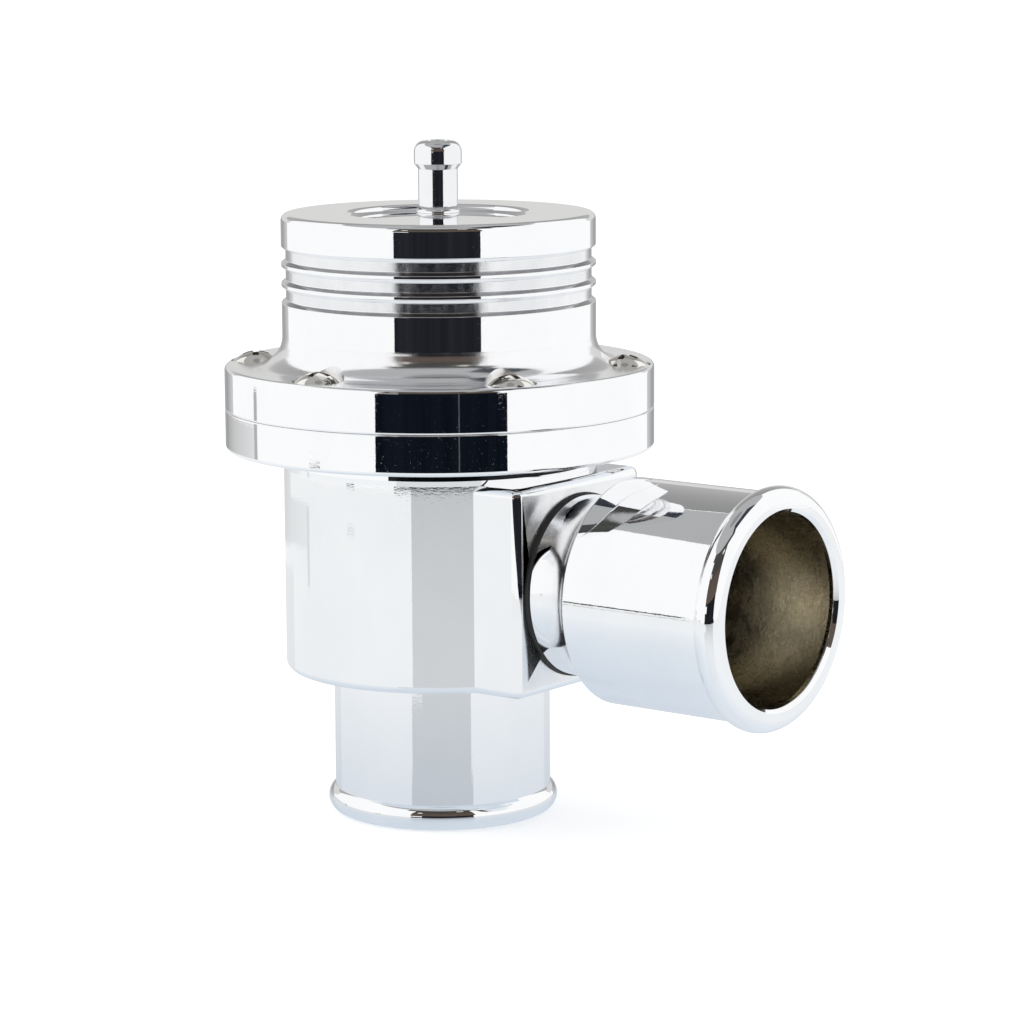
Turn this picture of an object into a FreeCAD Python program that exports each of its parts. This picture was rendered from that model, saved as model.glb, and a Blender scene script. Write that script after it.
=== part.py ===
# Recirculating blow off valve for 25 mm hose, in millimetres.
# A turned body with an inlet spigot below carries a square port block with a screwed-in outlet
# spigot. Six screws hold a grooved cap on its flange, with a rubber diaphragm between the two.
# Vacuum at the cap's nipple lifts the diaphragm, its stem and the poppet off the seat.
# +Z runs up the valve's axis, the origin is the middle of the inlet rim, the outlet points along +X.
import FreeCAD
import Part
import Sketcher
import math
import os

# Driving dimensions
SIZES = {
    # Inlet spigot and body
    "inlet_od": 25.0,
    "inlet_wall": 2.0,
    "inlet_length": 17.0,
    "inlet_bead_rise": 0.8,
    "inlet_bead_height": 3.2,
    "body_od": 36.0,
    "body_edge_radius": 0.9,
    "block_margin": 1.15,
    "block_stand": 2.0,
    "block_height": 23.5,
    "neck_height": 2.1,
    "neck_fillet": 1.75,
    "chamber_wall": 3.0,
    "diaphragm_wall": 2.5,
    "mouth_taper_width": 1.5,
    "mouth_taper_height": 2.4,
    "lower_chamber_depth": 7.4,
    # Guide plate
    "plate_fit": 0.01,
    "guide_plate_thickness": 2.0,
    "boss_wall": 2.5,
    "balance_hole": 2.6,
    "balance_hole_gap": 2.7,
    "balance_hole_count": 2,
    # Valve seat
    "throat_step": 0.5,
    "seat_height": 2.5,
    "seat_lip_width": 1.7,
    "seat_lip_height": 0.6,
    # Flanges
    "flange_margin": 3.2,
    "lower_flange_thickness": 4.6,
    "upper_flange_thickness": 5.0,
    "flange_edge_radius": 0.5,
    "seam_chamfer": 0.3,
    # Flange screws
    "screw_count": 6,
    "screw_gap": 2.2,
    "screw_start_angle": 30.0,
    "screw_thread": 3.0,
    "screw_length": 8.0,
    "screw_head_od": 5.6,
    "screw_head_side": 0.7,
    "screw_head_height": 2.1,
    "cross_span": 3.0,
    "cross_width": 0.7,
    "cross_depth": 1.3,
    "counterbore_depth": 1.4,
    "counterbore_clearance": 0.1,
    "screw_hole_clearance": 0.1,
    "thread_clearance": 0.05,
    # Cap
    "cap_step": 0.05,
    "cap_rise": 17.2,
    "cap_fillet": 3.2,
    "cap_edge_radius": 0.8,
    "cap_wall": 2.95,
    "cap_taper_height": 3.0,
    "cap_roof_fillet": 1.0,
    "cap_roof_thickness": 2.5,
    "recess_inset": 8.22,
    "recess_wall_width": 1.2,
    "recess_depth": 0.7,
    "band_count": 3,
    "band_level": 8.05,
    "band_pitch": 2.25,
    "band_floor": 0.95,
    "band_depth": 0.5,
    "spring_boss_gap": 2.3,
    "spring_boss_height": 2.5,
    # Vacuum nipple, with heights above the floor of the cap's recess
    "nipple_shank": 4.5,
    "nipple_bore": 2.2,
    "nipple_collar_level": 0.23,
    "nipple_collar_height": 0.87,
    "nipple_collar_bulge": 0.27,
    "nipple_bulb_rise": 0.47,
    "nipple_bulb_underside": 5.6,
    "nipple_bulb_taper": 0.6,
    "nipple_height": 8.8,
    "nipple_top_radius": 1.2,
    "nipple_chamfer": 0.25,
    "nipple_fit": 0.02,
    # Outlet spigot, with lengths along its own axis
    "port_height": 11.5,
    "outlet_od": 25.4,
    "outlet_wall": 2.0,
    "outlet_bead_rise": 0.8,
    "outlet_bead_length": 3.2,
    "outlet_barrel_length": 20.5,
    "outlet_rim_chamfer": 0.4,
    "outlet_neck_step": 2.5,
    "outlet_neck_length": 6.2,
    "outlet_neck_fillet": 1.0,
    "outlet_shoulder_radius": 0.5,
    "outlet_thread_step": 1.2,
    "outlet_thread_wall": 1.5,
    "outlet_throat_wall": 2.2,
    "outlet_thread_length": 5.0,
    "outlet_thread_chamfer": 0.5,
    # Outlet seal
    "outlet_seal_rise": 0.15,
    "outlet_seal_width": 1.0,
    "outlet_seal_stand": 0.6,
    "outlet_seal_depth": 0.6,
    "outlet_seal_radius": 0.3,
    # Diaphragm
    "membrane_thickness": 0.8,
    "membrane_roll_radius": 2.0,
    "membrane_roll_gap": 0.4,
    "membrane_hole_clearance": 0.3,
    "rim_ledge_width": 1.0,
    "rim_bead_width": 1.2,
    "rim_bead_height": 1.6,
    "rim_bead_clearance": 0.05,
    # Plates on the diaphragm
    "plate_gap": 1.1,
    "plate_thickness": 1.0,
    "plate_inset": 0.8,
    "plate_edge_radius": 0.3,
    "cup_inset": 0.7,
    "cup_thickness": 1.0,
    "cup_rim_height": 3.5,
    "cup_bend_radius": 1.5,
    # Return spring
    "spring_wire": 1.6,
    "spring_gap": 0.6,
    "spring_active_coils": 4.0,
    "spring_closed_coils": 1.0,
    "spring_coil_gap": 0.05,
    "spring_shim_margin": 0.9,
    "spring_shim_thickness": 0.8,
    "spring_shim_clearance": 0.15,
    # Stem, its nut and its guide
    "stem_diameter": 4.92,
    "stem_clearance": 0.04,
    "stem_thread": 4.0,
    "stem_end_rise": 1.0,
    "stem_chamfer": 0.4,
    "stem_collar_width": 1.54,
    "stem_collar_height": 1.2,
    "stem_end_gap": 0.3,
    "stem_washer_width": 2.5,
    "stem_washer_thickness": 0.8,
    "stem_nut_flats": 7.0,
    "stem_nut_height": 2.2,
    "bush_wall": 2.0,
    "bush_flange_width": 1.5,
    "bush_flange_thickness": 0.9,
    "bush_fit": 0.01,
    "bush_sink": 0.75,
    "circlip_thickness": 0.5,
    "circlip_width": 1.15,
    "circlip_slot_depth": 0.5,
    "circlip_clearance": 0.05,
    "circlip_gap_angle": 50.0,
    "stem_seal_wire": 1.3,
    "stem_seal_drop": 1.7,
    "stem_seal_clearance": 0.06,
    # Poppet
    "valve_lift": 5.5,
    "stop_clearance": 0.3,
    "poppet_overlap": 0.8,
    "poppet_rim_height": 1.2,
    "poppet_cone_height": 1.6,
    "poppet_hub_wall": 2.3,
    "poppet_hub_height": 4.1,
    "poppet_edge_chamfer": 0.3,
    "poppet_seal_overlap": 0.6,
    "poppet_seal_inset": 5.0,
    "poppet_seal_thickness": 1.4,
    "retainer_gap": 1.4,
    "retainer_thickness": 1.3,
    "retainer_fit": 0.1,
    "poppet_screw_head": 5.7,
    "poppet_screw_length": 8.0,
    "poppet_screw_socket": 2.0,
    "poppet_screw_socket_depth": 1.2,
}

LEFT = 1
RIGHT = -1

doc = FreeCAD.newDocument("blow_off_valve")
sheet = doc.addObject("Spreadsheet::Sheet", "Sizes")
for row, (alias, number) in enumerate(SIZES.items(), start=1):
    sheet.set("A%d" % row, alias)
    sheet.set("B%d" % row, str(number))
    sheet.setAlias("B%d" % row, alias)
doc.recompute()


class Size:
    """A length that knows both its value and the sheet expression it comes from."""

    def __init__(self, value, text):
        self.value = value
        self.text = text

    def __add__(self, other):
        other = as_size(other)
        return Size(self.value + other.value, "(%s + %s)" % (self.text, other.text))

    def __radd__(self, other):
        return as_size(other) + self

    def __sub__(self, other):
        other = as_size(other)
        return Size(self.value - other.value, "(%s - %s)" % (self.text, other.text))

    def __rsub__(self, other):
        return as_size(other) - self

    def __mul__(self, other):
        other = as_size(other)
        return Size(self.value * other.value, "(%s * %s)" % (self.text, other.text))

    def __rmul__(self, other):
        return as_size(other) * self

    def __truediv__(self, other):
        other = as_size(other)
        return Size(self.value / other.value, "(%s / %s)" % (self.text, other.text))

    def __neg__(self):
        return Size(-self.value, "(0 - %s)" % self.text)


def as_size(number):
    """Wrap a plain number, so that it can stand beside sizes from the sheet."""
    if isinstance(number, Size):
        return number
    return Size(float(number), repr(float(number)))


def root(size):
    """The square root of a size."""
    return Size(math.sqrt(size.value), "sqrt(%s)" % size.text)


class Sheet:
    """The driving dimensions, each read by its alias."""

    def __getattr__(self, alias):
        return Size(float(getattr(sheet, alias)), "Sizes." + alias)


s = Sheet()

# Radii of the body, the flanges and the cap, from the body's outside
body_radius = s.body_od / 2
chamber_radius = body_radius - s.chamber_wall
diaphragm_radius = body_radius - s.diaphragm_wall
mouth_radius = diaphragm_radius + s.mouth_taper_width
bead_inside = mouth_radius + s.rim_ledge_width
bead_outside = bead_inside + s.rim_bead_width
screw_radius = bead_outside + s.screw_gap
flange_radius = screw_radius + s.flange_margin
cap_radius = body_radius - s.cap_step
cavity_radius = cap_radius - s.cap_wall
recess_radius = cap_radius - s.recess_inset

# Radii of the inlet, the seat and what closes on it
inlet_radius = s.inlet_od / 2
inlet_bore = inlet_radius - s.inlet_wall
throat_radius = inlet_bore - s.throat_step
lip_radius = throat_radius + s.seat_lip_width
poppet_radius = lip_radius + s.poppet_overlap
seal_radius = lip_radius + s.poppet_seal_overlap
seal_bore = throat_radius - s.poppet_seal_inset
retainer_radius = throat_radius - s.retainer_gap

# Radii of the stem and its guide
stem_radius = s.stem_diameter / 2
stem_bore = stem_radius + s.stem_clearance
thread_radius = s.stem_thread / 2
thread_bore = thread_radius + s.thread_clearance
bush_radius = stem_bore + s.bush_wall
bush_flange_radius = bush_radius + s.bush_flange_width
boss_radius = bush_radius + s.boss_wall

# Radii of the diaphragm's roll, its plates and the spring
roll_outside = mouth_radius - s.membrane_roll_gap
roll_wall = roll_outside - s.membrane_roll_radius
disc_radius = roll_wall - s.membrane_roll_radius
plate_radius = disc_radius - s.plate_inset
cup_radius = disc_radius - s.cup_inset
spring_outside = cup_radius - s.cup_thickness - s.spring_gap
spring_inside = spring_outside - s.spring_wire
spring_boss_radius = spring_inside - s.spring_boss_gap

# Radii of the outlet spigot and its seal, and the block that carries them
outlet_radius = s.outlet_od / 2
outlet_bore = outlet_radius - s.outlet_wall
neck_radius = outlet_radius - s.outlet_neck_step
port_thread = neck_radius - s.outlet_thread_step
port_throat = port_thread - s.outlet_thread_wall
ring_radius = neck_radius + s.outlet_seal_rise
block_half = ring_radius + s.block_margin
block_reach = body_radius + s.block_stand

# Levels along the valve's axis, from the inlet rim up
body_underside = s.inlet_length
block_top = body_underside + s.block_height
flange_underside = block_top + s.neck_height
seam = flange_underside + s.lower_flange_thickness
flange_top = seam + s.upper_flange_thickness
cap_top = flange_top + s.cap_rise
recess_floor = cap_top - s.recess_depth
ceiling = recess_floor - s.cap_roof_thickness
port_level = body_underside + s.port_height
seat_level = body_underside + s.seat_height
chamber_floor = seat_level - s.seat_lip_height
guide_plate_top = seam - s.lower_chamber_depth
guide_plate_underside = guide_plate_top - s.guide_plate_thickness
bush_top = guide_plate_top - s.bush_sink

# Levels of the pieces on the stem, with the valve closed
poppet_underside = seat_level + s.poppet_seal_thickness
retainer_underside = seat_level - s.retainer_thickness
collar_underside = poppet_underside + s.poppet_hub_height
collar_top = collar_underside + s.stem_collar_height
boss_underside = collar_top + s.valve_lift + s.stop_clearance
plate_underside = guide_plate_top + s.plate_gap
membrane_underside = plate_underside + s.plate_thickness
cup_underside = membrane_underside + s.membrane_thickness
cup_floor = cup_underside + s.cup_thickness
nut_underside = cup_floor + s.stem_washer_thickness
stem_top = nut_underside + s.stem_nut_height + s.stem_end_rise
spring_top = ceiling - s.spring_shim_thickness
screw_seat = flange_top - s.counterbore_depth

# Places along the outlet's axis, from the valve's axis out
neck_face = block_reach + s.outlet_seal_stand
shoulder = neck_face + s.outlet_neck_length
mouth = shoulder + s.outlet_barrel_length
thread_end = block_reach - s.outlet_thread_length


class Outline:
    """A closed outline of straight lines and arcs, drawn with the material on its left."""

    def __init__(self, x, y):
        self.points = [(as_size(x), as_size(y), None, None)]

    def to(self, x, y):
        """A straight line to the point."""
        self.points.append((as_size(x), as_size(y), None, None))
        return self

    def bend(self, x, y, radius, turn):
        """An arc of the radius to the point, turning LEFT or RIGHT."""
        self.points.append((as_size(x), as_size(y), as_size(radius), turn))
        return self


def arc_between(start, end, radius, turn):
    """The arc of less than half a circle between two points of a sketch."""
    chord = end - start
    reach = math.sqrt(max(radius ** 2 - chord.Length ** 2 / 4, 0.0))
    normal = FreeCAD.Vector(-chord.y, chord.x, 0) / chord.Length
    centre = (start + end) / 2 + normal * reach * turn
    first, last = (start, end) if turn == LEFT else (end, start)
    angles = [math.atan2(point.y - centre.y, point.x - centre.x) for point in (first, last)]
    circle = Part.Circle(centre, FreeCAD.Vector(0, 0, 1), radius)
    return Part.ArcOfCircle(circle, angles[0], angles[1])


def bind(sketch, pairs):
    """Add constraints, each with the size that drives it or None."""
    first = sketch.ConstraintCount
    sketch.addConstraint([constraint for constraint, size in pairs])
    for index, (constraint, size) in enumerate(pairs, start=first):
        if size is not None and "Sizes." in size.text:
            sketch.setExpression("Constraints[%d]" % index, size.text)


def place_point(geometry, position, x, y):
    """Constraints that hold a point at x and y, on an axis where one of them is zero."""
    pairs = []
    for kind, size, axis in (("DistanceX", x, -2), ("DistanceY", y, -1)):
        if size.text == "0.0":
            pairs.append((Sketcher.Constraint("PointOnObject", geometry, position, axis), None))
        else:
            pairs.append((Sketcher.Constraint(kind, geometry, position, size.value), size))
    return pairs


def draw_outline(sketch, outline):
    """Draw the outline and bind every point and radius to the sheet."""
    base = sketch.GeometryCount
    points = outline.points
    count = len(points)
    ends = []
    pairs = []
    for index, (x, y, _radius, _turn) in enumerate(points):
        next_x, next_y, radius, turn = points[(index + 1) % count]
        start = FreeCAD.Vector(x.value, y.value, 0)
        end = FreeCAD.Vector(next_x.value, next_y.value, 0)
        if radius is None:
            sketch.addGeometry(Part.LineSegment(start, end), False)
        else:
            sketch.addGeometry(arc_between(start, end, radius.value, turn), False)
            pairs.append((Sketcher.Constraint("Radius", base + index, radius.value), radius))
        ends.append((2, 1) if turn == RIGHT else (1, 2))
    for index, (x, y, _radius, _turn) in enumerate(points):
        after = (index + 1) % count
        pairs.append((Sketcher.Constraint(
            "Coincident", base + index, ends[index][1], base + after, ends[after][0]), None))
        pairs.extend(place_point(base + index, ends[index][0], x, y))
    bind(sketch, pairs)


def draw_circle(sketch, x, y, diameter):
    """Draw a circle and bind its centre and size to the sheet."""
    x, y, diameter = as_size(x), as_size(y), as_size(diameter)
    centre = FreeCAD.Vector(x.value, y.value, 0)
    circle = Part.Circle(centre, FreeCAD.Vector(0, 0, 1), diameter.value / 2)
    index = sketch.addGeometry(circle, False)
    pairs = place_point(index, 3, x, y)
    pairs.append((Sketcher.Constraint("Diameter", index, diameter.value), diameter))
    bind(sketch, pairs)


def new_body(label):
    """A new body, whose label names its file."""
    body = doc.addObject("PartDesign::Body", label)
    body.Label = label
    return body


def origin_part(body, role):
    """A plane or an axis of the body's own origin."""
    return next(item for item in body.Origin.OriginFeatures if item.Role == role)


def new_sketch(body, name, role, **shift):
    """A sketch on a plane of the body's origin, moved along its own axes by the given sizes."""
    sketch = body.newObject("Sketcher::SketchObject", "%s_%s" % (body.Label, name))
    sketch.AttachmentSupport = [(origin_part(body, role), "")]
    sketch.MapMode = "FlatFace"
    for axis, size in shift.items():
        sketch.setExpression("AttachmentOffset.Base." + axis, as_size(size).text)
    return sketch


def add_feature(body, kind, name, sketch, **settings):
    """A feature made from a sketch. A cut has to take material away, or the macro stops."""
    before = body.Tip.Shape.Volume if body.Tip else 0.0
    feature = body.newObject("PartDesign::" + kind, "%s_%s" % (body.Label, name))
    feature.Profile = sketch
    for setting, value in settings.items():
        if isinstance(value, Size):
            setattr(feature, setting, value.value)
            feature.setExpression(setting, value.text)
        else:
            setattr(feature, setting, value)
    doc.recompute()
    if kind in ("Pocket", "Groove") and feature.Shape.Volume > before - 1e-6:
        raise RuntimeError("%s cuts nothing" % feature.Name)
    return feature


def turn_outline(body, name, outline, kind="Revolution", axis="V_Axis", angle=360.0, **shift):
    """Revolve an outline, drawn in the XZ plane, about an axis of its sketch."""
    sketch = new_sketch(body, name + "_sketch", "XZ_Plane", **shift)
    draw_outline(sketch, outline)
    return add_feature(body, kind, name, sketch, ReferenceAxis=(sketch, [axis]), Angle=angle)


def cut_circle(body, name, diameter, depth, x=0, y=0, level=0):
    """Drill a round hole of the depth down from a level."""
    sketch = new_sketch(body, name + "_sketch", "XY_Plane", z=level)
    draw_circle(sketch, x, y, diameter)
    return add_feature(body, "Pocket", name, sketch, Length=depth)


def round_edges(body, name, radius, chosen):
    """Round the edges of the body that the test chosen picks."""
    base = body.Tip
    edges = ["Edge%d" % (index + 1) for index, edge in enumerate(base.Shape.Edges) if chosen(edge)]
    fillet = body.newObject("PartDesign::Fillet", "%s_%s" % (body.Label, name))
    fillet.Base = (base, edges)
    fillet.setExpression("Radius", radius.text)
    doc.recompute()
    return fillet


def repeat_round(body, name, features, count):
    """Repeat features evenly round the body's Z axis."""
    pattern = body.newObject("PartDesign::PolarPattern", "%s_%s" % (body.Label, name))
    pattern.Originals = features
    pattern.Axis = (origin_part(body, "Z_Axis"), [""])
    pattern.Angle = 360.0
    pattern.setExpression("Occurrences", count.text)
    body.Tip = pattern
    doc.recompute()
    return pattern


def repeat_up(body, name, feature, pitch, count):
    """Repeat a feature along the body's Z axis."""
    pattern = body.newObject("PartDesign::LinearPattern", "%s_%s" % (body.Label, name))
    pattern.Originals = [feature]
    pattern.Direction = (origin_part(body, "Z_Axis"), [""])
    pattern.setExpression("Length", (pitch * (count - 1)).text)
    pattern.setExpression("Occurrences", count.text)
    body.Tip = pattern
    doc.recompute()
    return pattern


def lift_to(piece, level):
    """Place a piece, modelled from its own underside, at a level of the valve."""
    piece.setExpression("Placement.Base.z", level.text)


def bead_junction(rise, height):
    """How far from the rim a half-round hose bead runs into the spigot's wall."""
    inset = height / 2 - rise
    return height / 2 + root(height * height / 4 - inset * inset)


def make_valve_body():
    """Inlet spigot, body, port block and lower flange, turned and milled from one piece."""
    body = new_body("valve_body")
    add_port_block(body)
    turn_outline(body, "turned", body_outside())
    turn_outline(body, "passage", body_passage(), kind="Groove")
    add_port_bore(body)
    hole = cut_circle(
        body, "tapped_hole", s.screw_thread + 2 * s.thread_clearance, s.lower_flange_thickness,
        x=screw_x, y=screw_y, level=seam)
    repeat_round(body, "tapped_holes", [hole], s.screw_count)


def add_port_block(body):
    """The square block that carries the outlet, with rounded edges all round its face."""
    sketch = new_sketch(body, "block_sketch", "XY_Plane", z=body_underside)
    outline = Outline(0, -block_half).to(block_reach, -block_half)
    outline.to(block_reach, block_half).to(0, block_half)
    draw_outline(sketch, outline)
    add_feature(body, "Pad", "block", sketch, Length=s.block_height)
    round_edges(body, "block_edges", s.body_edge_radius, lambda edge: edge.CenterOfMass.x > 0.1)


def body_outside():
    """Half section of the turned outside, from the inlet rim up to the seam."""
    wall = body_radius
    edge = s.body_edge_radius
    rim = flange_radius
    bead_half = s.inlet_bead_height / 2
    bead_radius = inlet_radius + s.inlet_bead_rise
    junction = bead_junction(s.inlet_bead_rise, s.inlet_bead_height)
    outline = Outline(0, 0)
    outline.to(bead_radius - bead_half, 0)
    outline.bend(bead_radius, bead_half, bead_half, LEFT)
    outline.bend(inlet_radius, junction, bead_half, LEFT)
    outline.to(inlet_radius, body_underside)
    outline.to(wall - edge, body_underside)
    outline.bend(wall, body_underside + edge, edge, LEFT)
    outline.to(wall, flange_underside - s.neck_fillet)
    outline.bend(wall + s.neck_fillet, flange_underside, s.neck_fillet, RIGHT)
    outline.to(rim - s.flange_edge_radius, flange_underside)
    outline.bend(rim, flange_underside + s.flange_edge_radius, s.flange_edge_radius, LEFT)
    outline.to(rim, seam - s.seam_chamfer)
    outline.to(rim - s.seam_chamfer, seam)
    outline.to(0, seam)
    return outline


def body_passage():
    """Half section of the bore, seat, chamber and diaphragm seat, from the rim up."""
    groove_outside = bead_outside + s.rim_bead_clearance
    groove_inside = bead_inside - s.rim_bead_clearance
    ledge = seam - s.membrane_thickness
    outline = Outline(0, 0)
    outline.to(inlet_bore, 0)
    outline.to(inlet_bore, body_underside - s.throat_step)
    outline.to(throat_radius, body_underside)
    outline.to(throat_radius, seat_level)
    outline.to(lip_radius, seat_level)
    outline.to(lip_radius, chamber_floor)
    outline.to(chamber_radius, chamber_floor)
    outline.to(chamber_radius, guide_plate_underside)
    outline.to(diaphragm_radius, guide_plate_underside)
    outline.to(diaphragm_radius, ledge - s.mouth_taper_height)
    outline.to(mouth_radius, ledge)
    outline.to(groove_inside, ledge)
    outline.to(groove_inside, seam - s.rim_bead_height)
    outline.to(groove_outside, seam - s.rim_bead_height)
    outline.to(groove_outside, seam)
    outline.to(0, seam)
    return outline


def add_port_bore(body):
    """The tapped outlet bore through the block, with a shallow seat for its seal."""
    bore = port_thread + s.thread_clearance
    start = root(chamber_radius * chamber_radius - bore * bore)
    seat = ring_radius + s.rim_bead_clearance
    outline = Outline(start, 0)
    outline.to(block_reach, 0)
    outline.to(block_reach, seat)
    outline.to(block_reach - s.outlet_seal_depth, seat)
    outline.to(block_reach - s.outlet_seal_depth, bore)
    outline.to(start, bore)
    turn_outline(body, "port_bore", outline, kind="Groove", axis="H_Axis", y=port_level)


def make_guide_plate():
    """The plate pressed into the body over the chamber, with a boss that the bush sits in."""
    body = new_body("guide_plate")
    rim = diaphragm_radius - s.plate_fit
    guide = bush_radius + s.bush_fit
    guide_flange = bush_flange_radius + s.bush_fit
    slot = guide_flange + s.circlip_slot_depth
    slot_top = bush_top + s.circlip_thickness + s.circlip_clearance
    flange_level = bush_top - s.bush_flange_thickness
    outline = Outline(guide, boss_underside)
    outline.to(boss_radius, boss_underside)
    outline.to(boss_radius, guide_plate_underside)
    outline.to(rim, guide_plate_underside)
    outline.to(rim, guide_plate_top)
    outline.to(guide_flange, guide_plate_top)
    outline.to(guide_flange, slot_top)
    outline.to(slot, slot_top)
    outline.to(slot, bush_top)
    outline.to(guide_flange, bush_top)
    outline.to(guide_flange, flange_level)
    outline.to(guide, flange_level)
    turn_outline(body, "turned", outline)
    vent = cut_circle(
        body, "balance_hole", s.balance_hole, s.guide_plate_thickness,
        y=boss_radius + s.balance_hole_gap + s.balance_hole / 2, level=guide_plate_top)
    repeat_round(body, "balance_holes", [vent], s.balance_hole_count)


def make_outlet_spigot():
    """The outlet spigot, turned about its own axis, with a neck, a shoulder and a hose bead."""
    body = new_body("outlet_spigot")
    corner = s.outlet_shoulder_radius
    fillet = s.outlet_neck_fillet
    bead_half = s.outlet_bead_length / 2
    bead_radius = outlet_radius + s.outlet_bead_rise
    junction = bead_junction(s.outlet_bead_rise, s.outlet_bead_length)
    taper_start = shoulder + s.outlet_throat_wall
    outline = Outline(thread_end, port_throat)
    outline.to(taper_start, port_throat)
    outline.to(taper_start + outlet_bore - port_throat, outlet_bore)
    outline.to(mouth - s.outlet_rim_chamfer, outlet_bore)
    outline.to(mouth, outlet_bore + s.outlet_rim_chamfer)
    outline.to(mouth, bead_radius - bead_half)
    outline.bend(mouth - bead_half, bead_radius, bead_half, LEFT)
    outline.bend(mouth - junction, outlet_radius, bead_half, LEFT)
    outline.to(shoulder + corner, outlet_radius)
    outline.bend(shoulder, outlet_radius - corner, corner, LEFT)
    outline.to(shoulder, neck_radius + fillet)
    outline.bend(shoulder - fillet, neck_radius, fillet, RIGHT)
    outline.to(neck_face, neck_radius)
    outline.to(neck_face, port_thread)
    outline.to(thread_end + s.outlet_thread_chamfer, port_thread)
    outline.to(thread_end, port_thread - s.outlet_thread_chamfer)
    turn_outline(body, "turned", outline, axis="H_Axis")
    lift_to(body, port_level)


def make_outlet_seal():
    """The rubber ring that is squeezed between the block and the outlet's neck."""
    body = new_body("outlet_seal")
    inner = ring_radius - s.outlet_seal_width
    back = block_reach - s.outlet_seal_depth
    corner = s.outlet_seal_radius
    outline = Outline(back, inner)
    outline.to(neck_face, inner)
    outline.to(neck_face, ring_radius - corner)
    outline.bend(neck_face - corner, ring_radius, corner, LEFT)
    outline.to(back + corner, ring_radius)
    outline.bend(back, ring_radius - corner, corner, LEFT)
    turn_outline(body, "ring", outline, axis="H_Axis")
    lift_to(body, port_level)


def make_cap():
    """The cap with its flange, three grooves, top recess and inner spring boss."""
    body = new_body("cap")
    turn_outline(body, "turned", cap_outside())
    turn_outline(body, "cavity", cap_cavity(), kind="Groove")
    floor = cap_radius - s.band_depth
    low = flange_top + s.band_level
    opening = s.band_floor / 2 + s.band_depth
    band = Outline(floor, low - s.band_floor / 2)
    band.to(cap_radius, low - opening)
    band.to(cap_radius, low + opening)
    band.to(floor, low + s.band_floor / 2)
    groove = turn_outline(body, "band", band, kind="Groove")
    repeat_up(body, "bands", groove, s.band_pitch, s.band_count)
    counterbore = cut_circle(
        body, "counterbore", s.screw_head_od + 2 * s.counterbore_clearance,
        s.counterbore_depth + s.cap_fillet, x=screw_x, y=screw_y, level=flange_top + s.cap_fillet)
    hole = cut_circle(
        body, "screw_hole", s.screw_thread + 2 * s.screw_hole_clearance,
        s.upper_flange_thickness - s.counterbore_depth, x=screw_x, y=screw_y, level=screw_seat)
    repeat_round(body, "screw_holes", [counterbore, hole], s.screw_count)
    cut_circle(
        body, "nipple_hole", s.nipple_shank + 2 * s.nipple_fit,
        s.cap_roof_thickness + s.spring_boss_height, level=recess_floor)


def cap_outside():
    """Half section of the cap's outside, from the seam up to the recess."""
    rim = flange_radius
    edge = s.flange_edge_radius
    wall = cap_radius
    lip = recess_radius
    foot = lip - s.recess_wall_width
    width = s.recess_wall_width
    depth = s.recess_depth
    wall_radius = (width * width + depth * depth) / (4 * depth)
    outline = Outline(0, seam)
    outline.to(rim - s.seam_chamfer, seam)
    outline.to(rim, seam + s.seam_chamfer)
    outline.to(rim, flange_top - edge)
    outline.bend(rim - edge, flange_top, edge, LEFT)
    outline.to(wall + s.cap_fillet, flange_top)
    outline.bend(wall, flange_top + s.cap_fillet, s.cap_fillet, RIGHT)
    outline.to(wall, cap_top - s.cap_edge_radius)
    outline.bend(wall - s.cap_edge_radius, cap_top, s.cap_edge_radius, LEFT)
    outline.to(lip, cap_top)
    outline.bend(lip - width / 2, cap_top - depth / 2, wall_radius, LEFT)
    outline.bend(foot, recess_floor, wall_radius, RIGHT)
    outline.to(0, recess_floor)
    return outline


def cap_cavity():
    """Half section of the vacuum chamber inside the cap."""
    corner = s.cap_roof_fillet
    outline = Outline(0, seam)
    outline.to(mouth_radius, seam)
    outline.to(cavity_radius, seam + s.cap_taper_height)
    outline.to(cavity_radius, ceiling - corner)
    outline.bend(cavity_radius - corner, ceiling, corner, LEFT)
    outline.to(spring_boss_radius, ceiling)
    outline.to(spring_boss_radius, ceiling - s.spring_boss_height)
    outline.to(0, ceiling - s.spring_boss_height)
    return outline


def make_vacuum_nipple():
    """The vacuum hose nipple, pressed into the cap, with a collar and a rounded bulb."""
    body = new_body("vacuum_nipple")
    bore = s.nipple_bore / 2
    shank = s.nipple_shank / 2
    bulb = shank + s.nipple_bulb_rise
    tail = -(s.cap_roof_thickness + s.spring_boss_height)
    collar_low = s.nipple_collar_level
    collar_high = collar_low + s.nipple_collar_height
    half_chord = s.nipple_collar_height / 2
    bulge = s.nipple_collar_bulge
    collar_radius = (half_chord * half_chord + bulge * bulge) / (2 * bulge)
    chamfer = s.nipple_chamfer
    outline = Outline(bore, tail)
    outline.to(shank - chamfer, tail)
    outline.to(shank, tail + chamfer)
    outline.to(shank, collar_low)
    outline.bend(shank, collar_high, collar_radius, LEFT)
    outline.to(shank, s.nipple_bulb_underside)
    outline.to(bulb, s.nipple_bulb_underside + s.nipple_bulb_taper)
    outline.to(bulb, s.nipple_height - s.nipple_top_radius)
    outline.bend(bulb - s.nipple_top_radius, s.nipple_height, s.nipple_top_radius, LEFT)
    outline.to(bore + chamfer, s.nipple_height)
    outline.to(bore, s.nipple_height - chamfer)
    turn_outline(body, "turned", outline)
    lift_to(body, recess_floor)


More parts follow.
